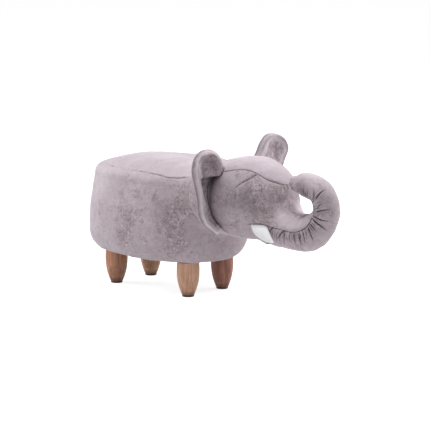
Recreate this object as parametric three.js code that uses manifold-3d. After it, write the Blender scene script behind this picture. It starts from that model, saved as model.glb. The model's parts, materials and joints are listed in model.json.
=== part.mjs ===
// An elephant footstool: an oval upholstered seat on four turned wooden legs, with a stuffed head,
// two padded ears, two short tusks and a trunk that curls up to the forehead.
//
// Millimetres, +Z up, the floor at Z = 0, the head towards +X, the animal's left side towards +Y.
// The sizes below are laid out about the middle of the seat; the finished group is then moved so
// that its origin lies on the floor under the middle of its overall length.
import * as THREE from 'three';
import { mergeVertices } from 'three/addons/utils/BufferGeometryUtils.js';
import Module from 'manifold-3d';

const wasm = await Module();
wasm.setup();

// Fits shared by every piece
const fit = 0.3;            // clearance between two pieces that touch
const coverSlack = 0.8;     // between a cover and the foam or stuffing that it is pulled over
const overrun = 2;          // how far a cutting tool runs past what it cuts

// The seat: an oval body with drawn-in sides, a soft turn underneath and a crowned top
const bodyLength = 390;
const bodyWidth = 278;
const bodyHeight = 184;     // from the underside to the seam round the top
const crownRise = 30;       // from that seam to the middle of the top
const planPower = 2.1;      // 2 is an ellipse, more is squarer
const crownPower = 2.2;     // more is flatter in the middle and steeper at the edge
const undersideInset = 36;   // how far the soft turn underneath comes in
const undersideRise = 46;
const shoulderDraw = 13;    // how far the side leans in below the shoulder
const shoulderInset = 9;     // how far the shoulder then turns in, up to the seam
const shoulderRise = 18;
const shoulderSweepDegrees = 62;
const bodySteps = 40;       // facets round the body

// The cover
const coverThickness = 1.5;
const hemWidth = 14;        // what is stapled under the base board
const dustCoverThickness = 1;
const dustCoverMargin = 4;  // from the base board's edge

// The wooden frame inside
const baseThickness = 15;
const topBoardThickness = 12;
const seatPadDepth = 35;    // from the top board up to the seam round the top
const boardInset = 43;      // from the widest part of the body to the boards' edge
const wallThickness = 3;    // hardboard bent round both boards
const postSide = 36;
const postInset = 87;       // from the body's widest part to the oval that the posts stand on
const postDegrees = 60;     // round that oval from the middle plane

// The legs and their hardware
const legHeight = 73;
const legRadius = 24;
const footRadius = 11.5;
const legPower = 2.6;       // how quickly the turned profile swells above the foot
const legEdge = 1.5;        // the broken edge round the leg's top
const legInset = 56;        // from the body's widest part to the oval that the legs stand on
const legDegrees = 40;      // round that oval from the middle plane
const legShift = 3;         // of all four towards the head
const legTurnSteps = 18;
const glideThickness = 3;
const glideEdge = 0.8;
const glideInset = 0.7;     // from the leg's foot
const boltRadius = 4;
const boltDepth = 34;       // of bolt inside the leg
const boltTip = 2.5;        // of bolt above the nut
const nutBarrelRadius = 5.6;
const nutBarrelLength = 11;
const nutFlangeRadius = 11;
const nutFlangeThickness = 1.6;
const hardwareSteps = 10;

// The head, a swelling and tapering tube whose spine lies in the middle plane
const neckDepth = 90;       // how far the head's spine starts behind the body's front
const headReach = 200;      // from the body's front to the lowest point of the trunk's curl
const headHalfHeight = 88;
const headHalfWidth = 88;
const headDrop = 38;        // from the seam round the top down to the spine, at the cheeks
const headPower = 2.35;     // squareness of the head's section; the trunk's section is round
const foreheadSteps = 6;    // facets across each panel
const cheekSteps = 5;
const gussetSteps = 8;

// The trunk, which runs on from the head and curls up and back to the forehead
const curlRadius = 50;      // of the spine
const curlDrop = 57;        // from the spine at the cheeks to the lowest point of the curl
const trunkRootRadius = 39.5;
const trunkTopRadius = 26;
const tipRadius = 18;
const tipRound = 14;        // length of the rounded end
const tipReach = 30;        // of trunk that runs straight back from the top of the curl
const tipDrop = 1;
const gatherCount = 20;     // small pleats where the outer gusset is gathered into its seams
const gatherDepth = 1.3;
const gatherDegrees = 60;   // how far round from its seams the pleats reach

// The ears: two padded layers sewn round the rim
const earRim = 5;           // thickness at the sewn rim
const earRoll = 8.5;        // half the thickness of the roll just inside the rim
const earFieldPad = 3;      // padding in front of the middle sheet, in the hollow of the ear
const earForward = 8;       // from the body's front to the middle sheet, in the hollow
const earCup = 10;          // how far the rim curves forward of the hollow
const earCupStart = 7;      // from the rim, where the hollow starts to sink
const earCupEnd = 34;       // from the rim, where it is fully sunk
const earOut = 150;         // from the middle plane to the ear's rim
const earRise = 75;         // from the seam round the top up to the ear's top
const earHeight = 186;
const earSweep = 29;        // how far the tip of the lower lobe swings forward round the cheek
const earSweepHeight = 54;  // of the lobe, where it swings forward
const earSteps = 32;

// The tusks
const tuskForward = 23.5;   // of the tusk's point from the front of its seam
const tuskSpread = 3.5;     // of the point outwards
const tuskDrop = 30.5;      // of the point below the seam
const tuskHalfWidth = 10;
const tuskRootDepth = 4.5;  // how far the root lies inside the cheek
const tuskPointRound = 2.5; // length of the rounded point
const tuskSteps = 12;

// Levels, worked out from the floor upwards
const legBottom = glideThickness + fit;
const legTop = legBottom + legHeight;
const dustCoverBottom = legTop + fit;
const underside = dustCoverBottom + dustCoverThickness + fit;
const baseBottom = underside + coverThickness + fit;
const baseTop = baseBottom + baseThickness;
const postBottom = baseTop + fit;
const seamLevel = underside + bodyHeight;
const topBoardTop = seamLevel - seatPadDepth;
const topBoardBottom = topBoardTop - topBoardThickness;
const postHeight = topBoardBottom - fit - postBottom;
const bodyFront = bodyLength / 2;
const earTop = seamLevel + earRise;
const stuffingInset = coverThickness + coverSlack;

const radians = THREE.MathUtils.degToRad;
const lerp = THREE.MathUtils.lerp;
const signedPower = (value, power) => Math.sign(value) * Math.abs(value) ** power;
const steps = (count) => Array.from({ length: count }, (_, i) => i);

// A geometry from a list of points and a list of triangles.
function geometryOf(points, triangles) {
  const geometry = new THREE.BufferGeometry();
  const places = points.flatMap((p) => p.toArray());
  geometry.setAttribute('position', new THREE.Float32BufferAttribute(places, 3));
  geometry.setIndex(triangles.flat());
  return geometry;
}

// Triangles between neighbouring rings of `count` points each; rings close on themselves.
function ringFaces(ringCount, count, closesUp) {
  const faces = [];
  for (let i = 0; i < (closesUp ? ringCount : ringCount - 1); i++) {
    const below = i * count;
    const above = ((i + 1) % ringCount) * count;
    for (let j = 0; j < count; j++) {
      const next = (j + 1) % count;
      faces.push([below + j, below + next, above + next], [below + j, above + next, above + j]);
    }
  }
  return faces;
}

// A solid whose sections are rings of points, closed by a fan at each end.
function loft(rings) {
  const count = rings[0].length;
  const faces = ringFaces(rings.length, count, false);
  const middles = [rings[0], rings.at(-1)].map((ring) =>
    ring.reduce((sum, p) => sum.add(p), new THREE.Vector3()).divideScalar(count));
  const first = rings.length * count;
  const lastRing = first - count;
  for (let j = 0; j < count; j++) {
    const next = (j + 1) % count;
    faces.push([first, next, j], [first + 1, lastRing + j, lastRing + next]);
  }
  return geometryOf([...rings.flat(), ...middles], faces);
}

// A ring-shaped solid: the last section joins the first.
function loftRing(rings) {
  return geometryOf(rings.flat(), ringFaces(rings.length, rings[0].length, true));
}

// A thin panel between an outer and an inner sheet, each a list of rows of points.
function loftPanel(outerRows, innerRows) {
  const count = outerRows[0].length;
  const inner = outerRows.length * count;
  const faces = [];
  const quad = (a, b, c, d) => faces.push([a, b, c], [a, c, d]);
  for (let i = 0; i < outerRows.length - 1; i++) {
    for (let j = 0; j < count - 1; j++) {
      const [a, b, c, d] = [i * count + j, i * count + j + 1, (i + 1) * count + j + 1, (i + 1) * count + j];
      quad(a, b, c, d);
      faces.push([inner + a, inner + c, inner + b], [inner + a, inner + d, inner + c]);
      if (j === 0) quad(a, d, inner + d, inner + a);
      if (j === count - 2) quad(c, b, inner + b, inner + c);
      if (i === 0) quad(b, a, inner + a, inner + b);
      if (i === outerRows.length - 2) quad(d, c, inner + c, inner + d);
    }
  }
  return geometryOf([...outerRows.flat(), ...innerRows.flat()], faces);
}

// A three.js geometry as a manifold solid, and back.
function solid(geometry) {
  const bare = geometry.clone();
  bare.deleteAttribute('normal');
  bare.deleteAttribute('uv');
  const merged = mergeVertices(bare);
  return new wasm.Manifold(new wasm.Mesh({
    numProp: 3,
    vertProperties: new Float32Array(merged.attributes.position.array),
    triVerts: new Uint32Array(merged.index.array),
  }));
}

function geometryFrom(manifold) {
  const mesh = manifold.getMesh();
  const geometry = new THREE.BufferGeometry();
  geometry.setAttribute('position', new THREE.BufferAttribute(new Float32Array(mesh.vertProperties), 3));
  geometry.setIndex(new THREE.BufferAttribute(new Uint32Array(mesh.triVerts), 1));
  return geometry;
}

const cut = (geometry, ...tools) =>
  geometryFrom(tools.reduce((left, tool) => left.subtract(solid(tool)), solid(geometry)));

// The same surface with its faces turned over, and a mirror image across the middle plane.
const turnedOver = (geometry) => {
  const other = geometry.clone();
  const index = other.index.array;
  for (let i = 0; i < index.length; i += 3) [index[i + 1], index[i + 2]] = [index[i + 2], index[i + 1]];
  return other;
};
const mirrored = (geometry) => turnedOver(geometry.clone().scale(1, -1, 1));

// The body's surface.
// `along` runs up the profile: 0 where the cover turns under the base board, 1 in the middle of the top.
const turnEnd = 0.25;
const sideEnd = 0.6;
const crownStart = 0.75;
const seamSwingShare = 0.02; // how much the seam climbs towards the rump and drops towards the head
const shoulderLevel = seamLevel - shoulderRise;
const sideBottom = underside + undersideRise;
const sweep = radians(shoulderSweepDegrees);

function profileAt(along) {
  if (along < turnEnd) {
    const turn = (along / turnEnd) * Math.PI / 2;
    return {
      inset: undersideInset * (1 - Math.sin(turn)),
      z: underside + undersideRise * (1 - Math.cos(turn)),
      scale: 1,
    };
  }
  if (along < sideEnd) {
    const share = (along - turnEnd) / (sideEnd - turnEnd);
    return { inset: shoulderDraw * share ** 2, z: lerp(sideBottom, shoulderLevel, share), scale: 1 };
  }
  if (along < crownStart) {
    const turn = ((along - sideEnd) / (crownStart - sideEnd)) * sweep;
    return {
      inset: shoulderDraw + shoulderInset * (1 - Math.cos(turn)) / (1 - Math.cos(sweep)),
      z: shoulderLevel + shoulderRise * Math.sin(turn) / Math.sin(sweep),
      scale: 1,
    };
  }
  const scale = (1 - along) / (1 - crownStart);
  return {
    inset: shoulderDraw + shoulderInset,
    z: seamLevel + crownRise * (1 - scale ** crownPower),
    scale,
  };
}

function ovalPoint(angle, halfLength, halfWidth, z) {
  return new THREE.Vector3(
    halfLength * signedPower(Math.cos(angle), 2 / planPower),
    halfWidth * signedPower(Math.sin(angle), 2 / planPower),
    z);
}

function bodyPoint(angle, along) {
  const { inset, z, scale } = profileAt(along);
  return ovalPoint(angle, (bodyLength / 2 - inset) * scale, (bodyWidth / 2 - inset) * scale, z);
}

// The body's surface moved inwards along its own normal.
function bodySkin(angle, along, inward) {
  const d = 1e-3;
  const low = Math.max(along - d, 0);
  const high = Math.min(along + d, 1 - d);
  const up = bodyPoint(angle, high).sub(bodyPoint(angle, low));
  const round = bodyPoint(angle + d, along).sub(bodyPoint(angle - d, along));
  return bodyPoint(angle, along).addScaledVector(round.cross(up).normalize(), -inward);
}

const bodyAngles = steps(bodySteps).map((i) => ((i + 0.5) / bodySteps) * 2 * Math.PI);
const seamAlong = (angle) => crownStart - seamSwingShare * Math.cos(angle);
const sideShares = [0, 0.1, 0.2, 0.3, 0.36, 0.5, 0.65, 0.8, 0.87, 0.94, 1];
const crownShares = [0, 0.22, 0.45, 0.68, 0.88];

const sideRings = (inward) => sideShares.map((share) =>
  bodyAngles.map((angle) => bodySkin(angle, share * seamAlong(angle), inward)));
const crownRings = (inward, gap = 0) => crownShares.map((share) =>
  bodyAngles.map((angle) => bodySkin(angle, lerp(seamAlong(angle) + gap, 1, share), inward)));

// The whole body as one solid, its skin moved inwards (or, below zero, outwards).
const bodyEnvelope = (inward) => loft([...sideRings(inward), ...crownRings(inward).slice(1)]);

// The head's and trunk's surface.
// Rows of shares: along the head's length, the spine's drop from the cheeks' level to the curl's lowest
// point, and how far the upper, lower and side half sizes lie from the trunk's root (0) to the head (1).
const headShares = [
  [0.000, 0.28, 0.42, 0.42, 0.76],
  [0.202, 0.12, 0.71, 0.69, 0.96],
  [0.403, 0.11, 1.06, 0.81, 1.00],
  [0.552, 0.20, 1.14, 0.77, 0.88],
  [0.690, 0.40, 0.88, 0.66, 0.58],
  [0.765, 0.56, 0.05, 0.57, 0.38],
  [0.845, 0.76, -0.22, 0.35, 0.20],
  [1.000, 1.00, 0.00, 0.00, 0.00],
];
// Round the curl: degrees from its front, share of its radius, and how far the trunk's own radius has gone
// from the root's to the top's.
const curlShares = [[-45, 0.92, 0.45], [0, 1.01, 0.82], [45, 1.04, 0.96], [90, 1, 1]];
const neckX = bodyFront - neckDepth;
const curlX = bodyFront + headReach;
const headZ = seamLevel - headDrop;
const curlZ = headZ - curlDrop + curlRadius;

const spineRows = [
  ...headShares.map(([along, drop, upper, lower, side]) => ({
    x: lerp(neckX, curlX, along),
    z: headZ - drop * curlDrop,
    upper: lerp(trunkRootRadius, headHalfHeight, upper),
    lower: lerp(trunkRootRadius, headHalfHeight, lower),
    side: lerp(trunkRootRadius, headHalfWidth, side),
  })),
  ...curlShares.map(([degrees, out, share]) => {
    const radius = lerp(trunkRootRadius, trunkTopRadius, share);
    return {
      x: curlX + out * curlRadius * Math.cos(radians(degrees)),
      z: curlZ + out * curlRadius * Math.sin(radians(degrees)),
      upper: radius, lower: radius, side: radius,
    };
  }),
  {
    x: curlX - tipReach,
    z: curlZ + curlRadius - tipDrop,
    upper: tipRadius, lower: tipRadius, side: tipRadius,
  },
];
const cheekRow = 2;         // the row at the widest part of the head
const trunkStart = headShares.length - 1;
const spineEnd = spineRows.length - 1;

// A smooth curve through rows of numbers, at a fractional row.
function rowAt(rows, place, key) {
  const i = Math.min(Math.floor(place), rows.length - 2);
  const at = (k) => rows[THREE.MathUtils.clamp(k, 0, rows.length - 1)][key];
  const t = place - i;
  const [a, b, c, d] = [at(i - 1), at(i), at(i + 1), at(i + 2)];
  const bend = 2 * a - 5 * b + 4 * c - d;
  const twist = 3 * b - a - 3 * c + d;
  return 0.5 * (2 * b + (c - a) * t + bend * t ** 2 + twist * t ** 3);
}

function spineAt(place) {
  const d = 1e-3;
  const at = (key, p = place) => rowAt(spineRows, p, key);
  const before = Math.max(place - d, 0);
  const after = Math.min(place + d, spineEnd);
  const run = at('x', after) - at('x', before);
  const rise = at('z', after) - at('z', before);
  const tangent = new THREE.Vector3(run, 0, rise).normalize();
  return {
    centre: new THREE.Vector3(at('x'), 0, at('z')),
    tangent,
    inner: new THREE.Vector3(-tangent.z, 0, tangent.x), // up on the head, towards the middle of the curl
    upper: at('upper'), lower: at('lower'), side: at('side'),
    power: lerp(headPower, 2, THREE.MathUtils.smoothstep(place, cheekRow, trunkStart)),
  };
}

// A point on the head or trunk: `place` along the spine, `turn` in radians round it from the inner side
// (positive towards +Y). Places past the spine's end lie on the rounded tip.
function headPoint(place, turn, inward) {
  const s = spineAt(Math.min(place, spineEnd));
  const tipTurn = THREE.MathUtils.clamp(place - spineEnd, 0, 1) * Math.PI / 2;
  const shrink = Math.cos(tipTurn);
  const power = 2 / s.power;
  const height = (Math.cos(turn) > 0 ? s.upper : s.lower) - inward;
  return s.centre.clone()
    .addScaledVector(s.tangent, (tipRound - inward) * Math.sin(tipTurn))
    .addScaledVector(s.inner, height * shrink * signedPower(Math.cos(turn), power))
    .add(new THREE.Vector3(0, (s.side - inward) * shrink * signedPower(Math.sin(turn), power), 0));
}

const tipPlaces = [0.4, 0.75, 0.95].map((share) => spineEnd + share);
const stations = (from, to, count) => steps(count + 1).map((i) => lerp(from, to, i / count));

// Seams: degrees round the spine from its inner side, row by row.
const foreheadSeamDegrees = [50, 48, 47, 37, 37, 18].map((at) => ({ at }));
const gussetSeamDegrees = [118, 118, 117, 114, 108, 103, 98, 78, 73, 55, 48, 48, 58].map((at) => ({ at }));
// Shares of the spine's rows: where the forehead's rounded front ends, and where the gusset is gathered.
const foreheadEndShare = 0.371;
const gatherShares = [0.45, 0.875];
const foreheadEnd = foreheadEndShare * spineEnd;
const [gatherStart, gatherEnd] = gatherShares.map((share) => share * spineEnd);
const foreheadTurn = (place) => {
  const rounding = Math.sqrt(Math.max(1 - (place / foreheadEnd) ** 12, 0.01));
  return radians(rowAt(foreheadSeamDegrees, place, 'at')) * rounding;
};
const gussetTurn = (place) => radians(rowAt(gussetSeamDegrees, Math.min(place, spineEnd), 'at'));

const headStations = stations(0, foreheadEnd, 14);
const rootStations = stations(foreheadEnd, gatherStart, 3);
const trunkStations = [...rootStations, ...stations(gatherStart, spineEnd, 20).slice(1), ...tipPlaces];

// Rings round the head, whose points are those of its four panels, or round the trunk, with no forehead.
const between = (from, to, count) => steps(count).map((j) => lerp(from, to, j / count));
function rings(places, hasForehead, inward) {
  return places.map((place) => {
    const top = hasForehead ? foreheadTurn(place) : 0;
    const seam = gussetTurn(place);
    const whole = 2 * Math.PI;
    const turns = [
      ...(hasForehead ? between(-top, top, foreheadSteps) : []),
      ...between(top, seam, cheekSteps),
      ...between(seam, whole - seam, gussetSteps),
      ...between(whole - seam, whole - top, cheekSteps),
    ];
    return turns.toReversed().map((turn) => headPoint(place, turn, inward));
  });
}
const headEnvelope = (inward) => loft(rings(headStations, true, inward));
const trunkEnvelope = (inward) => loft(rings([headStations.at(-4), ...trunkStations], false, inward));

// A sewn panel of the head's cover: rows along the spine, each from one seam's turn to the other's.
function headPanel(places, count, from, to, ripple = () => 0) {
  const rows = (inward, ripples) => places.map((place) => steps(count + 1).map((j) => {
    const turn = lerp(from(place), to(place), j / count);
    return headPoint(place, turn, inward + (ripples ? ripple(place, turn) : 0));
  }));
  return loftPanel(rows(0, true), rows(coverThickness, false));
}

// The pieces' materials
const fabric = new THREE.MeshStandardMaterial({ color: 0xa89ca4, roughness: 0.85, metalness: 0 });
const foam = new THREE.MeshStandardMaterial({ color: 0xe9dfb8, roughness: 0.95, metalness: 0 });
const stuffing = new THREE.MeshStandardMaterial({ color: 0xf1f0ec, roughness: 1, metalness: 0 });
const felt = new THREE.MeshStandardMaterial({ color: 0xf2f1f4, roughness: 0.9, metalness: 0 });
const wood = new THREE.MeshStandardMaterial({ color: 0xa87a58, roughness: 0.5, metalness: 0 });
const plywood = new THREE.MeshStandardMaterial({ color: 0xcfae80, roughness: 0.8, metalness: 0 });
const hardboard = new THREE.MeshStandardMaterial({ color: 0x7d5a3c, roughness: 0.8, metalness: 0 });
const lining = new THREE.MeshStandardMaterial({ color: 0x26262a, roughness: 0.95, metalness: 0 });
const steel = new THREE.MeshStandardMaterial({ color: 0xb9bcc0, roughness: 0.35, metalness: 1 });
const glidePlastic = new THREE.MeshStandardMaterial({ color: 0x4a3428, roughness: 0.6, metalness: 0 });

const stool = new THREE.Group();
function add(name, geometry, material, x = 0, y = 0, z = 0) {
  const mesh = new THREE.Mesh(geometry, material);
  mesh.name = name;
  mesh.position.set(x, y, z);
  stool.add(mesh);
}

// One place in each quarter of an oval `inset` from the body's widest part.
function quarters(inset, degrees, shift) {
  const p = ovalPoint(radians(degrees), bodyLength / 2 - inset, bodyWidth / 2 - inset, 0);
  return [
    ['front_left', shift + p.x, p.y], ['front_right', shift + p.x, -p.y],
    ['rear_left', shift - p.x, p.y], ['rear_right', shift - p.x, -p.y],
  ];
}
const legPlaces = quarters(legInset, legDegrees, legShift);

// A round piece from its profile, [radius, height] by [radius, height], stood upright.
function turned(profile, segments) {
  const geometry = new THREE.LatheGeometry(profile.map(([r, z]) => new THREE.Vector2(r, z)), segments);
  return geometry.rotateX(Math.PI / 2);
}
const rod = (radius, bottom, top) =>
  turned([[0, bottom], [radius, bottom], [radius, top], [0, top]], hardwareSteps);
// Cutting tools for a hole over each leg.
const drilled = (radius, bottom, top) => legPlaces.map(([, x, y]) =>
  rod(radius, bottom - overrun, top + overrun).translate(x, y, 0));

// A level oval ring, `inset` from the widest part of the body, and a board of that outline.
const ovalRing = (inset, z) => bodyAngles.map((angle) =>
  ovalPoint(angle, bodyLength / 2 - inset, bodyWidth / 2 - inset, z));
const board = (inset, bottom, thickness) =>
  loft([ovalRing(inset, bottom), ovalRing(inset, bottom + thickness)]);

function frame() {
  const nutHoles = drilled(nutBarrelRadius + fit, baseBottom, baseTop);
  add('base_board', cut(board(boardInset, baseBottom, baseThickness), ...nutHoles), plywood);
  add('top_board', board(boardInset, topBoardBottom, topBoardThickness), plywood);
  const wallInner = boardInset - fit;
  const wallOuter = wallInner - wallThickness;
  add('frame_wall', loftRing([
    ovalRing(wallOuter, baseBottom), ovalRing(wallOuter, topBoardTop),
    ovalRing(wallInner, topBoardTop), ovalRing(wallInner, baseBottom),
  ]), hardboard);
  for (const [name, x, y] of quarters(postInset, postDegrees, 0)) {
    add(`frame_post_${name}`, new THREE.BoxGeometry(postSide, postSide, postHeight), plywood,
      x, y, postBottom + postHeight / 2);
  }
}

function padding() {
  const tall = 2 * (bodyLength + bodyHeight);
  const block = (bottom) => new THREE.BoxGeometry(tall, tall, tall).translate(0, 0, bottom + tall / 2);
  const blockBelow = (top) => new THREE.BoxGeometry(tall, tall, tall).translate(0, 0, top - tall / 2);
  const wallOutside = boardInset - 2 * fit - wallThickness;
  const core = board(wallOutside, underside, topBoardTop - underside + overrun);
  const whole = bodyEnvelope(stuffingInset);
  add('seat_foam', cut(whole, blockBelow(topBoardTop + fit)), foam);
  add('side_foam', cut(whole, block(topBoardTop), core), foam);
}

function bodyCover() {
  const hem = (z) => ovalRing(undersideInset + hemWidth, z);
  const side = loftRing([
    hem(underside), ...sideRings(0),
    ...sideRings(coverThickness).toReversed(), hem(underside + coverThickness),
  ]);
  add('side_cover', cut(side, ...drilled(boltRadius + fit, underside, baseBottom)), fabric);
  const seamGap = fit / bodyLength;
  const crown = [...crownRings(coverThickness, seamGap).toReversed(), ...crownRings(0, seamGap)];
  add('seat_cover', loft(crown), fabric);
  const dust = board(boardInset + dustCoverMargin, dustCoverBottom, dustCoverThickness);
  add('dust_cover', cut(dust, ...drilled(boltRadius + fit, dustCoverBottom, underside)), lining);
}

function legs() {
  const legShares = [0, 0.05, 0.14, 0.26, 0.4, 0.56, 0.76];
  const profile = legShares.map((share) => [
    legRadius - (legRadius - footRadius) * (1 - share) ** legPower, legBottom + share * legHeight]);
  const bore = boltRadius + fit;
  const leg = turned([
    [0, legBottom], ...profile, [legRadius, legTop - legEdge], [legRadius - legEdge, legTop],
    [bore, legTop], [bore, legTop - boltDepth - fit], [0, legTop - boltDepth - fit],
  ], legTurnSteps);
  const boltBottom = legTop - boltDepth;
  const nutTop = baseTop + fit + nutFlangeThickness;
  const bolt = turned([
    [0, boltBottom], [boltRadius, boltBottom + boltTip],
    [boltRadius, nutTop + boltTip], [0, nutTop + boltTip],
  ], hardwareSteps);
  const nutBottom = nutTop - nutBarrelLength;
  const nut = turned([
    [bore, nutBottom], [nutBarrelRadius, nutBottom], [nutBarrelRadius, baseTop + fit],
    [nutFlangeRadius, baseTop + fit], [nutFlangeRadius, nutTop], [bore, nutTop], [bore, nutBottom],
  ], hardwareSteps);
  const glideRadius = footRadius - glideInset;
  const glide = turned([
    [0, 0], [glideRadius - glideEdge, 0], [glideRadius, glideEdge],
    [glideRadius, glideThickness], [0, glideThickness],
  ], legTurnSteps);
  for (const [name, x, y] of legPlaces) {
    add(`leg_${name}`, leg, wood, x, y);
    add(`leg_bolt_${name}`, bolt, steel, x, y);
    add(`leg_nut_${name}`, nut, steel, x, y);
    add(`leg_glide_${name}`, glide, glidePlastic, x, y);
  }
}

function head() {
  const bodyTool = bodyEnvelope(-fit);
  add('head_stuffing', cut(headEnvelope(stuffingInset), bodyTool), stuffing);
  const placeGap = fit / curlRadius;
  const [, ...afterRoot] = trunkStations;
  const trunkRings = rings([foreheadEnd + placeGap, ...afterRoot], false, stuffingInset);
  add('trunk_stuffing', loft(trunkRings), stuffing);

  const turnGap = (place) => fit / spineAt(Math.min(place, spineEnd)).side;
  const forehead = headPanel(headStations, foreheadSteps, foreheadTurn, (p) => -foreheadTurn(p));
  add('forehead_panel', cut(forehead, bodyTool), fabric);

  // Past the forehead the two cheek panels meet each other in the middle plane.
  const cheekPlaces = [...headStations, ...afterRoot];
  const cheekTop = (place) => (place <= foreheadEnd ? foreheadTurn(place) : 0) + turnGap(place);
  const cheekBottom = (place) => gussetTurn(place) - turnGap(place);
  const whole = 2 * Math.PI;
  const cheekLeft = headPanel(cheekPlaces, cheekSteps, cheekBottom, cheekTop);
  const cheekRight = headPanel(cheekPlaces, cheekSteps,
    (p) => whole - cheekTop(p), (p) => whole - cheekBottom(p));
  add('cheek_panel_left', cut(cheekLeft, bodyTool), fabric);
  add('cheek_panel_right', cut(cheekRight, bodyTool), fabric);

  // The gusset's pleats are highest at its seams and die away towards the outside of the curl.
  const gatherTurn = radians(gatherDegrees);
  const ripple = (place, turn) => {
    const phase = (place - gatherStart) / (gatherEnd - gatherStart);
    if (phase <= 0 || phase >= 1) return 0;
    const fade = Math.max(1 - (Math.min(turn, whole - turn) - gussetTurn(place)) / gatherTurn, 0);
    const ends = Math.min(1, 4 * Math.min(phase, 1 - phase));
    return -gatherDepth * fade * ends * Math.sin(Math.PI * gatherCount * phase) ** 2;
  };
  const gussetPlaces = [
    ...headStations, ...rootStations.slice(1),
    ...stations(gatherStart, gatherEnd, 2 * gatherCount).slice(1),
    ...stations(gatherEnd, spineEnd, 6).slice(1), ...tipPlaces,
  ];
  const gussetEdge = (place) => gussetTurn(place) + turnGap(place);
  const gusset = headPanel(gussetPlaces, gussetSteps, (p) => whole - gussetEdge(p), gussetEdge, ripple);
  add('trunk_gusset', cut(gusset, bodyTool), fabric);
}

// The ear's outline seen from the front: share of the way out from the middle plane, and of its height up.
const earShares = [
  [0.655, 0.035], [0.72, 0.088], [0.787, 0.150], [0.835, 0.265], [0.878, 0.398], [0.935, 0.56],
  [0.985, 0.70], [1.00, 0.80], [0.955, 0.915], [0.85, 0.983], [0.70, 1.00], [0.55, 0.965],
  [0.44, 0.88], [0.385, 0.78], [0.31, 0.68], [0.30, 0.40], [0.38, 0.16], [0.54, 0.05],
];
const earMiddleShares = [0.70, 0.62];
const lobeShares = [0.11, 0.54];   // of the ear's height: below the first it is a thin lobe, above the second cupped
const lobeThinShare = 0.35;        // how much of the cup and the roll the lobe keeps

function ears() {
  const earBottom = earTop - earHeight;
  const at = ([out, up]) => new THREE.Vector3(0, out * earOut, earBottom + up * earHeight);
  const rim = new THREE.CatmullRomCurve3(earShares.map(at), true);
  const outline = rim.getSpacedPoints(earSteps).slice(0, -1);
  const middle = at(earMiddleShares);
  const [lobeTop, cupBottom] = lobeShares.map((share) => earBottom + share * earHeight);

  // The sheet between the two layers, and how far each layer stands in front of it and behind it.
  const form = (q, fromRim) => {
    const cupped = lerp(lobeThinShare, 1, THREE.MathUtils.smoothstep(q.z, lobeTop, cupBottom));
    const sunk = THREE.MathUtils.smoothstep(fromRim, earCupStart, earCupEnd);
    const low = Math.max(1 - (q.z - earBottom) / earSweepHeight, 0);
    const sheet = bodyFront + earForward + earCup * cupped * (1 - sunk) + earSweep * low ** 1.6;
    const rise = Math.sqrt(1 - (1 - Math.min(fromRim / earRoll, 1)) ** 2);
    const roll = lerp(earRim / 2, earRoll, rise);
    return { sheet, front: roll - (earRoll - earFieldPad) * sunk * cupped, back: roll };
  };
  const distances = [earCupEnd, (earCupStart + earCupEnd) / 2, earCupStart, earRoll / 4, 0];
  const ring = (fromRim, reach) => outline.map((p) => {
    const away = p.distanceTo(middle);
    const q = p.clone().lerp(middle, Math.min(fromRim / away, 1 - earRim / away));
    const { sheet, front, back } = form(q, fromRim);
    return q.setX(sheet + (reach === 'front' ? front : reach === 'back' ? -back : reach));
  });
  // Both layers list their outer face first, so that they have the same triangles where they meet.
  const face = (reach) => distances.map((fromRim) => ring(fromRim, reach));
  const layer = (outer, parting) => loft([...face(outer), ...face(parting).toReversed()]);
  const tools = [headEnvelope(-fit), bodyEnvelope(-fit)];
  const back = cut(layer('back', -fit / 2), ...tools);
  const front = cut(turnedOver(layer('front', fit / 2)), ...tools);
  for (const [side, flip] of [['left', (g) => g], ['right', mirrored]]) {
    add(`ear_back_${side}`, flip(back), fabric);
    add(`ear_front_${side}`, flip(front), fabric);
  }
}

// The tusk is sewn into the cheek's lower seam, and narrows between a straight front edge and a round rear one.
const tuskRootShares = [0.3225, 0.45];     // of the spine's rows: the rear and the front of the tusk's seam
const tuskBellyShares = [0.40, 1.08];      // of the way to the point and of its drop: the rear edge's pull
const tuskWidthShares = [[0, 0.42], [0.13, 0.9], [0.3, 1], [0.5, 0.94], [0.7, 0.76], [0.93, 0.3]];

function tusks() {
  const [rear, front] = tuskRootShares.map((share) =>
    headPoint(share * spineEnd, gussetTurn(share * spineEnd), 0));
  const point = front.clone().add(new THREE.Vector3(tuskForward, tuskSpread, -tuskDrop));
  const [bellyAlong, bellyDrop] = tuskBellyShares;
  const belly = rear.clone().lerp(point, bellyAlong).setZ(front.z - tuskDrop * bellyDrop);
  const rearEdge = new THREE.QuadraticBezierCurve3(rear, belly, point);
  const frontEdge = new THREE.LineCurve3(front, point);
  const ringAround = (centre, half, width) => steps(tuskSteps).map((j) => {
    const around = -(j / tuskSteps) * 2 * Math.PI;
    return centre.clone().addScaledVector(half, Math.cos(around))
      .add(new THREE.Vector3(0, width * Math.sin(around), 0));
  });
  const sections = tuskWidthShares.map(([along, share]) => {
    const low = rearEdge.getPoint(along);
    const high = frontEdge.getPoint(along);
    const seated = 1 - THREE.MathUtils.smoothstep(along, 0, tuskWidthShares[2][0]);
    const centre = low.clone().lerp(high, 0.5).sub(new THREE.Vector3(0, tuskRootDepth * seated, 0));
    return { centre, half: high.sub(low).multiplyScalar(0.5), width: tuskHalfWidth * share };
  });
  const { centre, half, width } = sections.at(-1);
  const ahead = centre.clone().sub(sections.at(-2).centre).setLength(tuskPointRound);
  const end = ringAround(centre.clone().add(ahead), half.clone().multiplyScalar(0.5), width * 0.5);
  const rows = [...sections.map((s) => ringAround(s.centre, s.half, s.width)), end];
  const tusk = cut(loft(rows), headEnvelope(-fit), trunkEnvelope(-fit));
  add('tusk_left', tusk, felt);
  add('tusk_right', mirrored(tusk), felt);
}

frame();
padding();
bodyCover();
legs();
head();
ears();
tusks();

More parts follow.
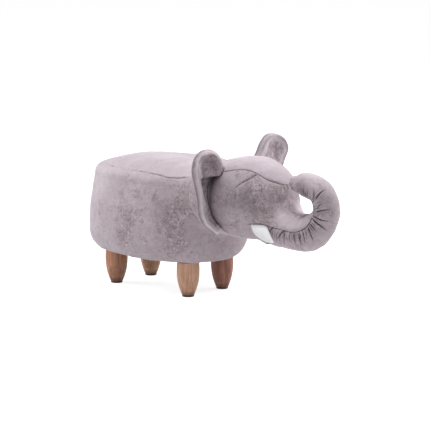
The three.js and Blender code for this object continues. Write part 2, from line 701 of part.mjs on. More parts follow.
// The origin goes to the floor under the middle of the overall length.
const extent = new THREE.Box3().setFromObject(stool);
stool.position.x = -(extent.min.x + extent.max.x) / 2;

export default stool;
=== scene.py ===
"""An elephant footstool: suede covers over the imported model, with padded ears, felt tusks and wooden legs.

Metres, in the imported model's frame: +Z up, the head towards +X, the animal's left side towards +Y.
The surfaces are worked out about the middle of the seat, and moved onto the frame at the end.
"""
import json
import math
import bpy
import numpy as np
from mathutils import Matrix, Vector


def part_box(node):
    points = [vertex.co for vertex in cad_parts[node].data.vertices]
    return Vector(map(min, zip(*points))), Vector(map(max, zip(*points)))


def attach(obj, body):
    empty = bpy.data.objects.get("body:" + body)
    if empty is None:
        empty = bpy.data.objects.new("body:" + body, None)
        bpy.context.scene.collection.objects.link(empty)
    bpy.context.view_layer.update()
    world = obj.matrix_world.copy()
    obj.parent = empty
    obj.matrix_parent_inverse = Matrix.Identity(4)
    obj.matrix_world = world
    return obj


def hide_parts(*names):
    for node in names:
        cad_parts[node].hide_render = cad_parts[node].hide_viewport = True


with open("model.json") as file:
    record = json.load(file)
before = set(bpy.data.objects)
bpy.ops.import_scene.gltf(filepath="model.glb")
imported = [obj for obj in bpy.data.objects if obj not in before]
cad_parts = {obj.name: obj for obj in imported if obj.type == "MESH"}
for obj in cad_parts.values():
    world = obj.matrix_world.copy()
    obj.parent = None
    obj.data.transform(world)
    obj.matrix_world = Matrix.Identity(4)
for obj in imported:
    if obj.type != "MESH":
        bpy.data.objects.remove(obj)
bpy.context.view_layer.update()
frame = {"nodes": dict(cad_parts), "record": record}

# The seat's body
BODY_LENGTH = 0.390
BODY_WIDTH = 0.278
UNDERSIDE = 0.0779
SEAM_LEVEL = UNDERSIDE + 0.184
CROWN_RISE = 0.030
PLAN_POWER = 2.1
CROWN_POWER = 2.2
UNDERSIDE_INSET = 0.036
UNDERSIDE_RISE = 0.046
SHOULDER_DRAW = 0.013
SHOULDER_INSET = 0.009
SHOULDER_RISE = 0.018
SHOULDER_SWEEP = math.radians(62)
HEM_WIDTH = 0.014

# Where the parts of the body's profile end, as shares of the way up it
TURN_END_SHARE = 0.25
SIDE_END_SHARE = 0.6
CROWN_START_SHARE = 0.75
SEAM_LIFT_SHARE = 0.026
SEAM_SWING_SHARE = 0.090

# The head and the trunk
BODY_FRONT = BODY_LENGTH / 2
NECK_X = BODY_FRONT - 0.090
CURL_X = BODY_FRONT + 0.200
HEAD_Z = SEAM_LEVEL - 0.038
CURL_DROP = 0.057
CURL_RADIUS = 0.050
CURL_Z = HEAD_Z - CURL_DROP + CURL_RADIUS
HEAD_HALF = 0.088
HEAD_POWER = 2.35
TRUNK_ROOT_RADIUS = 0.0395
TRUNK_TOP_RADIUS = 0.026
TIP_RADIUS = 0.0165
TIP_ROUND = 0.014
TIP_REACH = 0.0275
TIP_DROP = 0.001

# Rows of shares: along the head, the spine's drop, and the upper, lower and side half sizes
# from the trunk's root (0) to the head (1).
HEAD_SHARES = [
    (0.000, 0.28, 0.42, 0.42, 0.76),
    (0.202, 0.12, 0.71, 0.69, 0.96),
    (0.403, 0.11, 1.06, 0.81, 1.00),
    (0.552, 0.20, 1.14, 0.77, 0.88),
    (0.690, 0.40, 0.88, 0.57, 0.58),
    (0.765, 0.56, 0.05, 0.57, 0.38),
    (0.845, 0.76, -0.22, 0.35, 0.20),
    (1.000, 1.00, 0.00, 0.00, 0.00),
]
# Round the curl: degrees from its front, share of its radius, share from the root's to the top's radius.
CURL_SHARES = [(-45, 0.92, 0.45), (0, 1.01, 0.82), (45, 1.04, 0.96), (90, 1.0, 1.0)]
FOREHEAD_SEAM_DEGREES = [48, 46, 45.5, 35, 35, 18]
GUSSET_SEAM_DEGREES = [118, 118, 117, 114, 106, 98, 94, 81, 77, 60, 48, 48, 58]
FOREHEAD_END = 4.36
SPINE_END = 12
CHEEK_ROW = 2
TRUNK_ROW = 7

# The camera, fitted to the outline of the object in the 430 x 430 photograph
CAMERA_AZIMUTH = math.radians(42.18)
CAMERA_ELEVATION = math.radians(10.24)
CAMERA_DISTANCE = 4.5
CAMERA_TARGET = (0.13921, 0.0, 0.17292)
FOCAL_PIXELS = 2101.3
PHOTO_WIDTH = 430
SENSOR_WIDTH = 36.0


def middle_of(node):
    low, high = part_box(node)
    return (low + high) / 2


SHIFT = np.array([middle_of("base_board").x, 0.0, 0.0])


def lerp(low, high, share):
    return low + (high - low) * share


def smoothstep(value, low, high):
    share = np.clip((value - low) / (high - low), 0, 1)
    return share * share * (3 - 2 * share)


def signed_power(value, power):
    return np.sign(value) * np.abs(value) ** power


def unit(vectors):
    return vectors / np.maximum(np.linalg.norm(vectors, axis=-1, keepdims=True), 1e-12)


def stack(x, y, z):
    return np.stack(np.broadcast_arrays(x, y, z), axis=-1).astype(float)


def bell(distance, width):
    return np.exp(-(distance / width) ** 2)


def window(value, rise, fall):
    """1 between two soft edges, each given as where it starts and ends."""
    return smoothstep(value, *rise) * (1 - smoothstep(value, *fall))


def runs(*spans):
    """Numbers along joined spans, each (from, to, count)."""
    last = len(spans) - 1
    return np.concatenate([
        np.linspace(start, end, count, endpoint=i == last) for i, (start, end, count) in enumerate(spans)])


# The body's surface

def profile(along):
    """Inset from the widest oval, height and scale of the oval, for shares `along` the body's profile."""
    turn = np.clip(along / TURN_END_SHARE, 0, 1) * math.pi / 2
    side = np.clip((along - TURN_END_SHARE) / (SIDE_END_SHARE - TURN_END_SHARE), 0, 1)
    shoulder_share = (along - SIDE_END_SHARE) / (CROWN_START_SHARE - SIDE_END_SHARE)
    shoulder = np.clip(shoulder_share, 0, 1) * SHOULDER_SWEEP
    scale = np.clip((1 - along) / (1 - CROWN_START_SHARE), 0, 1)
    side_bottom = UNDERSIDE + UNDERSIDE_RISE
    shoulder_level = SEAM_LEVEL - SHOULDER_RISE
    inset = (
        UNDERSIDE_INSET * (1 - np.sin(turn))
        + SHOULDER_DRAW * side ** 2
        + SHOULDER_INSET * (1 - np.cos(shoulder)) / (1 - math.cos(SHOULDER_SWEEP))
    )
    z = (
        UNDERSIDE + UNDERSIDE_RISE * (1 - np.cos(turn))
        + (shoulder_level - side_bottom) * side
        + SHOULDER_RISE * np.sin(shoulder) / math.sin(SHOULDER_SWEEP)
        + CROWN_RISE * (1 - scale ** CROWN_POWER)
    )
    return inset, z, scale


def oval(angle, half_length, half_width, z):
    return stack(
        half_length * signed_power(np.cos(angle), 2 / PLAN_POWER),
        half_width * signed_power(np.sin(angle), 2 / PLAN_POWER),
        z,
    )


def body_point(angle, along):
    inset, z, scale = profile(along)
    return oval(angle, (BODY_LENGTH / 2 - inset) * scale, (BODY_WIDTH / 2 - inset) * scale, z)


def body_seam(angle):
    """The seam lies on the crown at the sides and the rear, and dips onto the shoulder towards the head."""
    return CROWN_START_SHARE + SEAM_LIFT_SHARE - SEAM_SWING_SHARE * np.clip(np.cos(angle), 0, 1) ** 2


# The head's and trunk's surface

def spine_rows():
    rows = []
    for along, drop, upper, lower, side in HEAD_SHARES:
        rows.append((
            lerp(NECK_X, CURL_X, along),
            HEAD_Z - drop * CURL_DROP,
            lerp(TRUNK_ROOT_RADIUS, HEAD_HALF, upper),
            lerp(TRUNK_ROOT_RADIUS, HEAD_HALF, lower),
            lerp(TRUNK_ROOT_RADIUS, HEAD_HALF, side),
        ))
    for degrees, out, share in CURL_SHARES:
        turn = math.radians(degrees)
        radius = lerp(TRUNK_ROOT_RADIUS, TRUNK_TOP_RADIUS, share)
        rows.append((
            CURL_X + out * CURL_RADIUS * math.cos(turn),
            CURL_Z + out * CURL_RADIUS * math.sin(turn),
            radius, radius, radius,
        ))
    rows.append((CURL_X - TIP_REACH, CURL_Z + CURL_RADIUS - TIP_DROP, TIP_RADIUS, TIP_RADIUS, TIP_RADIUS))
    return np.array(rows)


SPINE = spine_rows()
TURN_STEP = 1e-3


def smooth_row(rows, place):
    """A smooth curve through rows of numbers, at fractional rows."""
    rows = np.asarray(rows, float)
    last = len(rows) - 1
    place = np.clip(place, 0, last)
    i = np.minimum(np.floor(place).astype(int), last - 1)
    t = place - i
    a, b, c, d = (rows[np.clip(i + k, 0, last)] for k in (-1, 0, 1, 2))
    if rows.ndim > 1:
        t = t[..., None]
    bend = 2 * a - 5 * b + 4 * c - d
    twist = 3 * b - a - 3 * c + d
    return 0.5 * (2 * b + (c - a) * t + bend * t ** 2 + twist * t ** 3)


def spine_at(place):
    """Centre, direction, inner direction, half sizes and squareness of the head's and trunk's section."""
    place = np.asarray(place, float)
    row = smooth_row(SPINE, place)
    ahead = smooth_row(SPINE, np.minimum(place + TURN_STEP, SPINE_END))[..., :2]
    behind = smooth_row(SPINE, np.maximum(place - TURN_STEP, 0))[..., :2]
    run = unit(ahead - behind)
    centre = stack(row[..., 0], 0.0, row[..., 1])
    tangent = stack(run[..., 0], 0.0, run[..., 1])
    inner = stack(-run[..., 1], 0.0, run[..., 0])
    power = lerp(HEAD_POWER, 2, smoothstep(place, CHEEK_ROW, TRUNK_ROW))
    return centre, tangent, inner, row[..., 2], row[..., 3], row[..., 4], power


def head_point(place, turn):
    """A point on the head or trunk; `turn` goes round from the inner side, positive towards +Y."""
    place, turn = np.broadcast_arrays(np.asarray(place, float), np.asarray(turn, float))
    centre, tangent, inner, upper, lower, side, power = spine_at(np.minimum(place, SPINE_END))
    tip_turn = np.clip(place - SPINE_END, 0, 1) * math.pi / 2
    shrink = np.cos(tip_turn)
    height = np.where(np.cos(turn) > 0, upper, lower) * shrink * signed_power(np.cos(turn), 2 / power)
    width = side * shrink * signed_power(np.sin(turn), 2 / power)
    forward = TIP_ROUND * np.sin(tip_turn)
    return centre + tangent * forward[..., None] + inner * height[..., None] + stack(0.0, width, 0.0)


def forehead_turn(place):
    rounding = np.sqrt(np.maximum(1 - (np.minimum(place, FOREHEAD_END) / FOREHEAD_END) ** 12, 0.01))
    return np.radians(smooth_row(FOREHEAD_SEAM_DEGREES, place)) * rounding


def gusset_turn(place):
    return np.radians(smooth_row(GUSSET_SEAM_DEGREES, np.minimum(place, SPINE_END)))


# How far a point lies outside the body, and outside the head
PROFILE_SAMPLES = 160
SMALLEST_HALF = 0.01
CROWN_SLOPE_SHARE = 0.87


def outside_body(points):
    x, y, z = points[..., 0], points[..., 1], points[..., 2]
    along = np.linspace(0, CROWN_START_SHARE, PROFILE_SAMPLES)
    inset, level, _ = profile(along)
    side_inset = np.interp(z, level, inset) + np.maximum(z - SEAM_LEVEL, 0) * math.tan(SHOULDER_SWEEP)
    side_inset = side_inset + np.maximum(UNDERSIDE - z, 0)

    def ring(inset_by):
        half_length = np.maximum(BODY_LENGTH / 2 - inset_by, SMALLEST_HALF)
        half_width = np.maximum(BODY_WIDTH / 2 - inset_by, SMALLEST_HALF)
        total = np.abs(x / half_length) ** PLAN_POWER + np.abs(y / half_width) ** PLAN_POWER
        return total ** (1 / PLAN_POWER), half_width

    share, half_width = ring(side_inset)
    beside = (share - 1) * half_width
    share, _ = ring(np.full_like(z, SHOULDER_DRAW + SHOULDER_INSET))
    above = z - (SEAM_LEVEL + CROWN_RISE * (1 - share ** CROWN_POWER))
    return np.maximum(beside, above * CROWN_SLOPE_SHARE)


SPINE_SAMPLES = np.linspace(0, TRUNK_ROW, 260)
CHUNK = 4000


def nearest_place(points):
    """The place along the spine whose section each point lies in."""
    centre = spine_at(SPINE_SAMPLES)[0]
    steps = np.linalg.norm(np.gradient(centre, SPINE_SAMPLES, axis=0), axis=-1)
    place = np.empty(len(points))
    for start in range(0, len(points), CHUNK):
        away = points[start:start + CHUNK, None, :] - centre[None, :, :]
        nearest = np.argmin(away[..., 0] ** 2 + away[..., 2] ** 2, axis=1)
        place[start:start + CHUNK] = SPINE_SAMPLES[nearest]
    for _ in range(3):
        centre, tangent = spine_at(place)[:2]
        ahead = ((points - centre) * tangent).sum(-1)
        place = np.clip(place + ahead / np.interp(place, SPINE_SAMPLES, steps), 0, TRUNK_ROW)
    return place


def outside_head(points):
    flat = points.reshape(-1, 3)
    place = nearest_place(flat)
    centre, tangent, inner, upper, lower, side, power = spine_at(place)
    offset = flat - centre
    height = (offset * inner).sum(-1)
    behind = np.maximum(-(offset * tangent).sum(-1), 0) * (place <= 0)
    half = np.where(height > 0, upper, lower)
    share = (np.abs(height / half) ** power + np.abs(offset[:, 1] / side) ** power) ** (1 / power)
    result = (share - 1) * np.minimum(half, side) + behind
    return result.reshape(points.shape[:-1])


def direction_of(distance, points):
    """The direction in which a distance grows fastest, at each point."""
    steps = np.eye(3) * SLOPE_STEP
    return unit(np.stack([distance(points + step) - distance(points - step) for step in steps], axis=-1))


# Past the valley where two surfaces meet, each sinks away under the other.
HIDDEN_DEPTH = 0.020
HIDDEN_SLOPE = 0.6
VALLEY_REACH = (0.012, 0.038)
VALLEY_LEVELS = (0.13, 0.27)
SLOPE_STEP = 1e-4


def flow_together(points, normals, distance, reach):
    """Lifts a surface where another comes near, so that the two meet in a soft valley."""
    gap = distance(points)
    nearness = np.clip((reach - gap) / reach, 0, 1)
    away = direction_of(distance, points)
    mixed = normals * (1 - nearness[..., None] / 2) + away * nearness[..., None] / 2
    length = np.maximum(np.linalg.norm(mixed, axis=-1, keepdims=True), 0.4)
    lifted = points + mixed / length ** 2 * (reach * nearness ** 2 / 4)[..., None]
    hidden = np.clip(-gap, 0, HIDDEN_DEPTH)
    return lifted - normals * (HIDDEN_SLOPE * hidden)[..., None]


def valley_reach(points):
    """How wide the valley is: narrow under the chin, wide on top."""
    return lerp(*VALLEY_REACH, smoothstep(points[..., 2], *VALLEY_LEVELS))


# Small forms of the cloth
NOISE_WAVES = 9
NOISE_SPREAD = (0.7, 1.6)
NOISE_SUM = 3.2
SEAM_DEPTH = 0.0016
SEAM_WIDTH = 0.0022
SEAM_CREASE = 0.0012
SEAM_CREASE_WIDTH = 0.0008

# Where the head may touch the body: this far behind the head's root and further on
NECK_MARGIN = 0.05

# The seam round the seat shows where the cosine of the angle is above these, and outside the head
SEAT_SEAM_FROM = (0.04, 0.50)
SEAT_SEAM_GAP = (0.002, 0.016)

# How strongly the seam between head and body shows, below the seat's level and above it
NECK_SEAM_SHARES = (0.28, 0.22)
NECK_SEAM_LEVELS = (SEAM_LEVEL - 0.012, SEAM_LEVEL + 0.006)


def soft_noise(points, size, seed):
    """Smooth noise from about -1 to 1, with features of about `size`."""
    random = np.random.default_rng(seed)
    total = np.zeros(points.shape[:-1])
    for _ in range(NOISE_WAVES):
        wave = unit(random.normal(size=3)) * 2 * math.pi / (size * random.uniform(*NOISE_SPREAD))
        total += np.sin(points @ wave + random.uniform(0, 2 * math.pi))
    return total / NOISE_SUM


def unevenness(points, waves, seed=0):
    """A relief from rows of height, size and seed."""
    return sum(height * soft_noise(points, size, own_seed + seed) for height, size, own_seed in waves)


def seat_seam_share(angles, points):
    """The seam round the seat shows towards the front, and neither at the rear nor where the head joins."""
    share = smoothstep(np.cos(angles), *SEAT_SEAM_FROM) * np.ones(points.shape[:-1])
    front = points[..., 0] > NECK_X - NECK_MARGIN
    share[front] *= smoothstep(outside_head(points[front]), *SEAT_SEAM_GAP)
    return share


def neck_seam(points, distance):
    """The dip of the seam along the line where head and body meet."""
    share = lerp(*NECK_SEAM_SHARES, smoothstep(points[..., 2], *NECK_SEAM_LEVELS))
    return share * seam_dip(np.abs(distance(points)))


def seam_dip(distance, depth=SEAM_DEPTH, width=SEAM_WIDTH):
    """How far the cover dips beside a seam: a soft roll and a sharp crease."""
    return depth * bell(distance, width) + SEAM_CREASE * np.exp(-distance / SEAM_CREASE_WIDTH)


def line_on_head(start, end, bow, side):
    """Points along a fold between two places of the head or trunk, on one side of it."""
    share = np.linspace(0, 1, FOLD_STEPS)
    place = lerp(start[0], end[0], share) + bow * 4 * share * (1 - share)
    return head_point(place, np.radians(lerp(start[1], end[1], share)) * side)


def along_step(points, start, end):
    """Distance from each point to a straight line between two places, and the share of the way along it."""
    way = end - start
    share = np.clip(((points - start) @ way) / (way @ way), 0, 1)
    return np.linalg.norm(points - start - share[..., None] * way, axis=-1), share


def along_line(points, line):
    """Distance from each point to a line of points, and the share of the way along it."""
    best = np.full(len(points), 1.0)
    share = np.zeros(len(points))
    for i, (start, end) in enumerate(zip(line, line[1:])):
        distance, t = along_step(points, start, end)
        nearer = distance < best
        best = np.where(nearer, distance, best)
        share = np.where(nearer, (i + t) / (len(line) - 1), share)
    return best, share


# A fold's shape, in its own widths and shares, and which folds get painted shade in their creases
FOLD_STEPS = 9
FOLD_TAPER_SHARE = 0.15
FOLD_START_SHARE = 0.3
FOLD_POWER = 1.5
LIP_PLACE = 2.2
LIP_SHARE = 0.45
FOLD_SHARP_WIDTHS = (0.0022, 0.0013)
FOLD_LONG_REACH = (0.012, 0.026)
FOLD_SHADE_SHARES = (0.8, 1.9)
CREASE_WIDTH_SHARE = 0.75


def fold_field(points, folds, sides):
    """How deep the cover sinks into its folds, and the painted shade in their creases; long folds get more
    painted shade.
    """
    flat = points.reshape(-1, 3)
    sink = np.zeros(len(flat))
    dark = np.zeros(len(flat))
    for side in sides:
        for start, end, depth, width, bow in folds:
            line = line_on_head(start, end, bow, side)
            middle = (line[0] + line[-1]) / 2
            reach = np.linalg.norm(line - middle, axis=-1).max() + 5 * width
            near = np.flatnonzero(np.linalg.norm(flat - middle, axis=-1) < reach)
            if not near.size:
                continue
            distance, share = along_line(flat[near], line)
            taper = lerp(FOLD_START_SHARE, 1, smoothstep(share, 0, FOLD_TAPER_SHARE)) * (1 - share ** 2.0)
            crease = np.exp(-(distance / width) ** FOLD_POWER)
            lip = bell(distance - LIP_PLACE * width, width)
            sink[near] += depth * taper * (crease - LIP_SHARE * lip)
            long = smoothstep(reach, *FOLD_LONG_REACH)
            # Painted shade in the crease, more for sharp and long folds, along a line narrower than the fold
            sharp = smoothstep(width, *FOLD_SHARP_WIDTHS) * lerp(*FOLD_SHADE_SHARES, long)
            crease_shade = np.exp(-(distance / (CREASE_WIDTH_SHARE * width)) ** FOLD_POWER)
            dark[near] = np.maximum(dark[near], depth * taper * crease_shade * sharp)
    return sink.reshape(points.shape[:-1]), dark.reshape(points.shape[:-1])


def ring_normals(points):
    """Normals of a grid whose columns close round."""
    around = np.roll(points, -1, 1) - np.roll(points, 1, 1)
    return unit(np.cross(np.gradient(points, axis=0), around))


# Places where the suede's print is denser, as seen on the right side, one of them also painted shade: x, y,
# z, radius, strength.
PRINT_AND_PAINTED_SHADE_SPOTS = [
    (0.117, -0.111, 0.174, 0.036, 1.0),
    (0.122, -0.108, 0.124, 0.030, 0.8),
    (0.018, -0.136, 0.180, 0.032, 0.9),
    (-0.004, -0.139, 0.137, 0.028, 0.9),
    (0.141, -0.089, 0.214, 0.028, 0.9),
    (-0.080, -0.112, 0.245, 0.034, 0.7),
    (0.195, -0.040, 0.115, 0.026, 0.6),
    (0.030, -0.060, 0.288, 0.026, 0.8),
    (0.322, -0.057, 0.245, 0.040, 1.0),
    (0.340, -0.039, 0.223, 0.034, 1.0),
    (0.305, -0.068, 0.210, 0.034, 1.0),
    (0.274, -0.074, 0.264, 0.026, 1.0),
    (0.262, -0.084, 0.232, 0.030, 0.8),
    # Under the trunk's tip: a darker print together with painted shade, where the underside faces down
    (0.395, -0.026, 0.260, 0.012, 0.9),
    (0.292, -0.066, 0.262, 0.022, 0.7),
    (0.440, -0.030, 0.215, 0.022, 0.7),
    (0.395, -0.035, 0.165, 0.026, 0.7),
]
# Places painted paler: a paler nap on the seat's rear, and painted light on the cheek, inside the trunk's
# loop and on the trunk's top
PALE_NAP_AND_LIGHT_SPOTS = [
    (-0.080, -0.109, 0.250, 0.045, 0.8),
    (-0.100, -0.112, 0.215, 0.035, 0.4),
    (0.150, -0.088, 0.222, 0.012, 0.6),
    (0.252, -0.083, 0.268, 0.020, 0.5),
    (0.274, -0.073, 0.260, 0.016, 0.4),
    (0.279, -0.076, 0.195, 0.020, 0.35),
    (0.372, -0.038, 0.196, 0.020, 1.2),
    (0.394, -0.034, 0.199, 0.020, 1.2),
    (0.355, -0.034, 0.206, 0.015, 0.5),
    (0.414, -0.010, 0.291, 0.024, 0.55),
]
# Places painted darker: painted shade where the surface turns from the light, on the cheeks, the trunk and
# the side, and on the seat's shoulder a darker print together with painted shade
PAINTED_SHADE_AND_PRINT_SPOTS = [
    (0.318, -0.064, 0.228, 0.032, 0.24),
    (0.285, -0.074, 0.235, 0.030, 0.26),
    (0.345, -0.030, 0.232, 0.026, 0.22),
    (0.461, -0.021, 0.236, 0.028, 0.30),
    (0.401, -0.026, 0.260, 0.019, 0.42),
    (-0.058, -0.088, 0.274, 0.048, 0.14),
    (0.103, -0.117, 0.184, 0.036, 0.17),
]
LEFT_SPOT_SHIFT = 0.022


def near_spots(points, spots):
    """How near each point is to some soft spots; the left side has them a little further back."""
    total = np.zeros(points.shape[:-1])
    for x, y, z, radius, strength in spots:
        for side in (1, -1):
            spot = np.array([x - LEFT_SPOT_SHIFT * (side < 0), y * side, z])
            total = total + strength * bell(np.linalg.norm(points - spot, axis=-1), radius)
    return total


def add_piece(name, data):
    piece = bpy.data.objects.new(name, data)
    bpy.context.scene.collection.objects.link(piece)
    return piece


def add_grid(name, points, closed=True, seam_and_shade=None, more_print=0.0, pale=0.0, flip=False):
    """A mesh object from rows of points, in the frame's own place; its tones give the suede dark seams and
    painted shade, more print, and a paler nap with painted light.
    """
    rows, columns = points.shape[:2]
    index = np.arange(rows * columns).reshape(rows, columns)
    if closed:
        index = np.concatenate([index, index[:, :1]], axis=1)
    quads = np.stack([index[:-1, :-1], index[:-1, 1:], index[1:, 1:], index[1:, :-1]], axis=-1)
    quads = quads.reshape(-1, 4)
    if flip:
        quads = quads[:, ::-1]
    mesh = bpy.data.meshes.new(name)
    mesh.vertices.add(rows * columns)
    mesh.vertices.foreach_set("co", (points + SHIFT).reshape(-1))
    mesh.loops.add(quads.size)
    mesh.loops.foreach_set("vertex_index", quads.reshape(-1).astype(np.int32))
    mesh.polygons.add(len(quads))
    mesh.polygons.foreach_set("loop_start", np.arange(0, quads.size, 4, dtype=np.int32))
    mesh.update(calc_edges=True)
    mesh.polygons.foreach_set("use_smooth", np.ones(len(quads), bool))
    if seam_and_shade is not None:
        tones = {
            # Darker towards the seam colour: dark seams, and painted shade in creases, hollows and places
            # turned from the light
            "seam_and_shade": near_spots(points, PAINTED_SHADE_AND_PRINT_SPOTS) + seam_and_shade,
            "print": near_spots(points, PRINT_AND_PAINTED_SHADE_SPOTS) + more_print,
            # Paler: a paler nap, and painted light and painted highlights
            "pale": near_spots(points, PALE_NAP_AND_LIGHT_SPOTS) + pale,
        }
        for attribute_name, values in tones.items():
            attribute = mesh.attributes.new(attribute_name, "FLOAT", "POINT")
            attribute.data.foreach_set("value", np.clip(values, 0, 1).reshape(-1).astype(np.float32))
    return add_piece(name, mesh)


def dress(piece, material, nodes):
    piece.data.materials.append(material)
    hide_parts(*nodes)
    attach(piece, "root")


# Materials

def fill_sockets(tree, node, sockets):
    for key, value in sockets.items():
        if isinstance(value, bpy.types.NodeSocket):
            tree.links.new(value, node.inputs[key])
        else:
            node.inputs[key].default_value = value


def add_node(tree, kind, output, sockets, **settings):
    """A shader node with its sockets linked or set; returns one of its outputs."""
    node = tree.nodes.new("ShaderNode" + kind)
    for name, value in settings.items():
        setattr(node, name, value)
    fill_sockets(tree, node, sockets)
    return node.outputs[output]


def new_material(name):
    material = bpy.data.materials.new(name)
    material.use_nodes = True
    return material, material.node_tree, material.node_tree.nodes["Principled BSDF"]


def srgb(red, green, blue):
    def linear(value):
        value /= 255
        return value / 12.92 if value <= 0.04045 else ((value + 0.055) / 1.055) ** 2.4
    return (linear(red), linear(green), linear(blue), 1.0)


def object_place(tree, scale=(1, 1, 1), offset=(0, 0, 0)):
    place = add_node(tree, "TexCoord", "Object", {})
    return add_node(tree, "Mapping", "Vector", {"Vector": place, "Location": offset, "Scale": scale})


def noise_node(tree, vector, size, detail=4.0, rough=0.5, warp=0.0):
    return add_node(tree, "TexNoise", "Fac", {
        "Vector": vector, "Scale": 1 / size, "Detail": detail, "Roughness": rough, "Distortion": warp})


def ramp_node(tree, value, low, high, low_value=0.0, high_value=1.0):
    return add_node(tree, "MapRange", "Result", {
        "Value": value, "From Min": low, "From Max": high, "To Min": low_value, "To Max": high_value,
    }, interpolation_type="SMOOTHSTEP")


def math_node(tree, operation, first, second):
    return add_node(tree, "Math", "Value", {0: first, 1: second}, operation=operation)


def multiply(tree, first, second):
    return math_node(tree, "MULTIPLY", first, second)


def mix_node(tree, factor, first, second):
    return add_node(tree, "Mix", 2, {0: factor, 6: first, 7: second}, data_type="RGBA")


def finish_shader(tree, shader, bump_height, bump_distance, bump_strength, sockets):
    bump = {"Height": bump_height, "Distance": bump_distance, "Strength": bump_strength}
    fill_sockets(tree, shader, {"Normal": add_node(tree, "Bump", "Normal", bump), **sockets})


SUEDE_LIGHT = srgb(200, 188, 196)
SUEDE_MIDDLE = srgb(188, 175, 182)
SUEDE_HAZE = srgb(164, 149, 153)
SUEDE_WORN = srgb(132, 116, 119)
SUEDE_PALE = srgb(218, 207, 212)
# The colour of the dark seams, and of the painted shade
SUEDE_SEAM_AND_SHADE = srgb(66, 52, 56)
SUEDE_BUMP = 0.0004
SUEDE_SHEEN = {"Sheen Weight": 0.5, "Sheen Roughness": 0.4, "Sheen Tint": (1.0, 0.97, 1.0, 1.0)}

# The suede's noises: size, detail, roughness, warp
SUEDE_NOISES = {
    "clouds": (0.060, 2, 0.5),
    "patches": (0.030, 5, 0.66, 0.6),
    "specks": (0.0058, 5, 0.80, 0.6),
    "marbling": (0.0080, 5, 0.72, 0.9),
    "grain": (0.0016, 3, 0.6),
}
VEIN_NOISE = (0.0140, 3, 0.62, 1.4)
VEIN_BREAK_NOISE = (0.0182, 3, 0.6)
VEIN_WIDTH = 0.055

# How strongly each layer covers the one below
PRINT_SHARE = 0.22
PRINT_SPAN = 0.20
VEIN_SHARES = (0.75, 0.22)
MARBLE_SHARE = 0.62
PRINT_HAZE_SHARE = 0.68
SPECK_SHARE = 0.92
PALE_SHARE = 0.95
PALE_NAP_AND_LIGHT_SHARE = 0.75
GRAIN_SHARE = 0.16
SPECK_BUMP_SHARE = 0.4


def named_value(tree, name):
    return add_node(tree, "Attribute", "Fac", {}, attribute_name=name)


def veins(tree, vector):
    """Thin broken lines where a warped noise passes its middle."""
    noise = noise_node(tree, vector, *VEIN_NOISE)
    off_middle = math_node(tree, "ABSOLUTE", math_node(tree, "SUBTRACT", noise, 0.5), 0.0)
    line = ramp_node(tree, off_middle, 0.0, VEIN_WIDTH, 1.0, 0.0)
    return multiply(tree, line, ramp_node(tree, noise_node(tree, vector, *VEIN_BREAK_NOISE), 0.40, 0.54))


def suede(name, print_level, contrast, streak=1.0):
    """Faux suede: soft clouds, and in places a faint print of small dark specks and pale fine lines.

    A lower print level prints more of the surface; "print" on the mesh adds to it in given places.
    """
    material, tree, shader = new_material(name)
    place = object_place(tree, (1, 1, streak))
    noise = {layer: noise_node(tree, place, *row) for layer, row in SUEDE_NOISES.items()}
    level = math_node(tree, "ADD", noise["patches"], multiply(tree, named_value(tree, "print"), PRINT_SHARE))
    printed = ramp_node(tree, level, print_level, print_level + PRINT_SPAN)
    speck = multiply(tree, printed, ramp_node(tree, noise["specks"], 0.50, 0.60))
    vein_gain, vein_base = VEIN_SHARES
    vein_share = math_node(tree, "ADD", multiply(tree, printed, vein_gain), vein_base)
    layers = (
        (ramp_node(tree, noise["marbling"], 0.40, 0.64), MARBLE_SHARE * contrast, SUEDE_HAZE),
        (printed, PRINT_HAZE_SHARE * contrast, SUEDE_HAZE),
        (speck, SPECK_SHARE * contrast, SUEDE_WORN),
        (multiply(tree, vein_share, veins(tree, place)), PALE_SHARE * contrast, SUEDE_PALE),
        # The mesh's pale tones: a paler nap, with painted light and painted highlights
        (named_value(tree, "pale"), PALE_NAP_AND_LIGHT_SHARE, SUEDE_PALE),
    )
    colour = mix_node(tree, ramp_node(tree, noise["clouds"], 0.34, 0.66), SUEDE_MIDDLE, SUEDE_LIGHT)
    for mask, share, tone in layers:
        colour = mix_node(tree, multiply(tree, mask, share), colour, tone)
    colour = mix_node(tree, ramp_node(tree, noise["grain"], 0.3, 0.7, 0.0, GRAIN_SHARE), colour, SUEDE_HAZE)
    height = math_node(tree, "SUBTRACT", noise["grain"], multiply(tree, speck, SPECK_BUMP_SHARE))
    finish_shader(tree, shader, height, SUEDE_BUMP, 0.45, {
        # Darkened by the mesh's dark seams and painted shade
        "Base Color": mix_node(tree, named_value(tree, "seam_and_shade"), colour, SUEDE_SEAM_AND_SHADE),
        "Roughness": ramp_node(tree, speck, 0.0, 1.0, 0.90, 0.75),
        "Specular IOR Level": 0.2,
        **SUEDE_SHEEN,
    })
    return material


FELT_FIBRES = (0.0011, 5, 0.7, 0.8)
FELT_CLUMPS = (0.006, 3, 0.5)
FELT_BUMP = 0.0006


def felt():
    material, tree, shader = new_material("tusk_felt")
    place = object_place(tree)
    fibres = noise_node(tree, place, *FELT_FIBRES)
    tone = multiply(tree, fibres, noise_node(tree, place, *FELT_CLUMPS))
    light = ramp_node(tree, tone, 0.12, 0.38)
    finish_shader(tree, shader, fibres, FELT_BUMP, 0.8, {
        "Base Color": mix_node(tree, light, srgb(246, 246, 250), srgb(255, 255, 255)),
        "Roughness": 0.95,
        "Specular IOR Level": 0.1,
        "Sheen Weight": 0.3,
    })
    return material


WOOD_FOOT_DARK = srgb(84, 54, 44)
WOOD_GRAIN = 0.0022
WOOD_GROWTH = (0.009, 4, 0.6, 1.2)
WOOD_STRETCH = (1, 1, 0.06)
WOOD_BUMP = 0.0003
GROWTH_SHARE = 0.6
FIBRE_SHARE = 0.4
PORE_SHARE = 0.6
FOOT_DARK_END_SHARE = 0.15


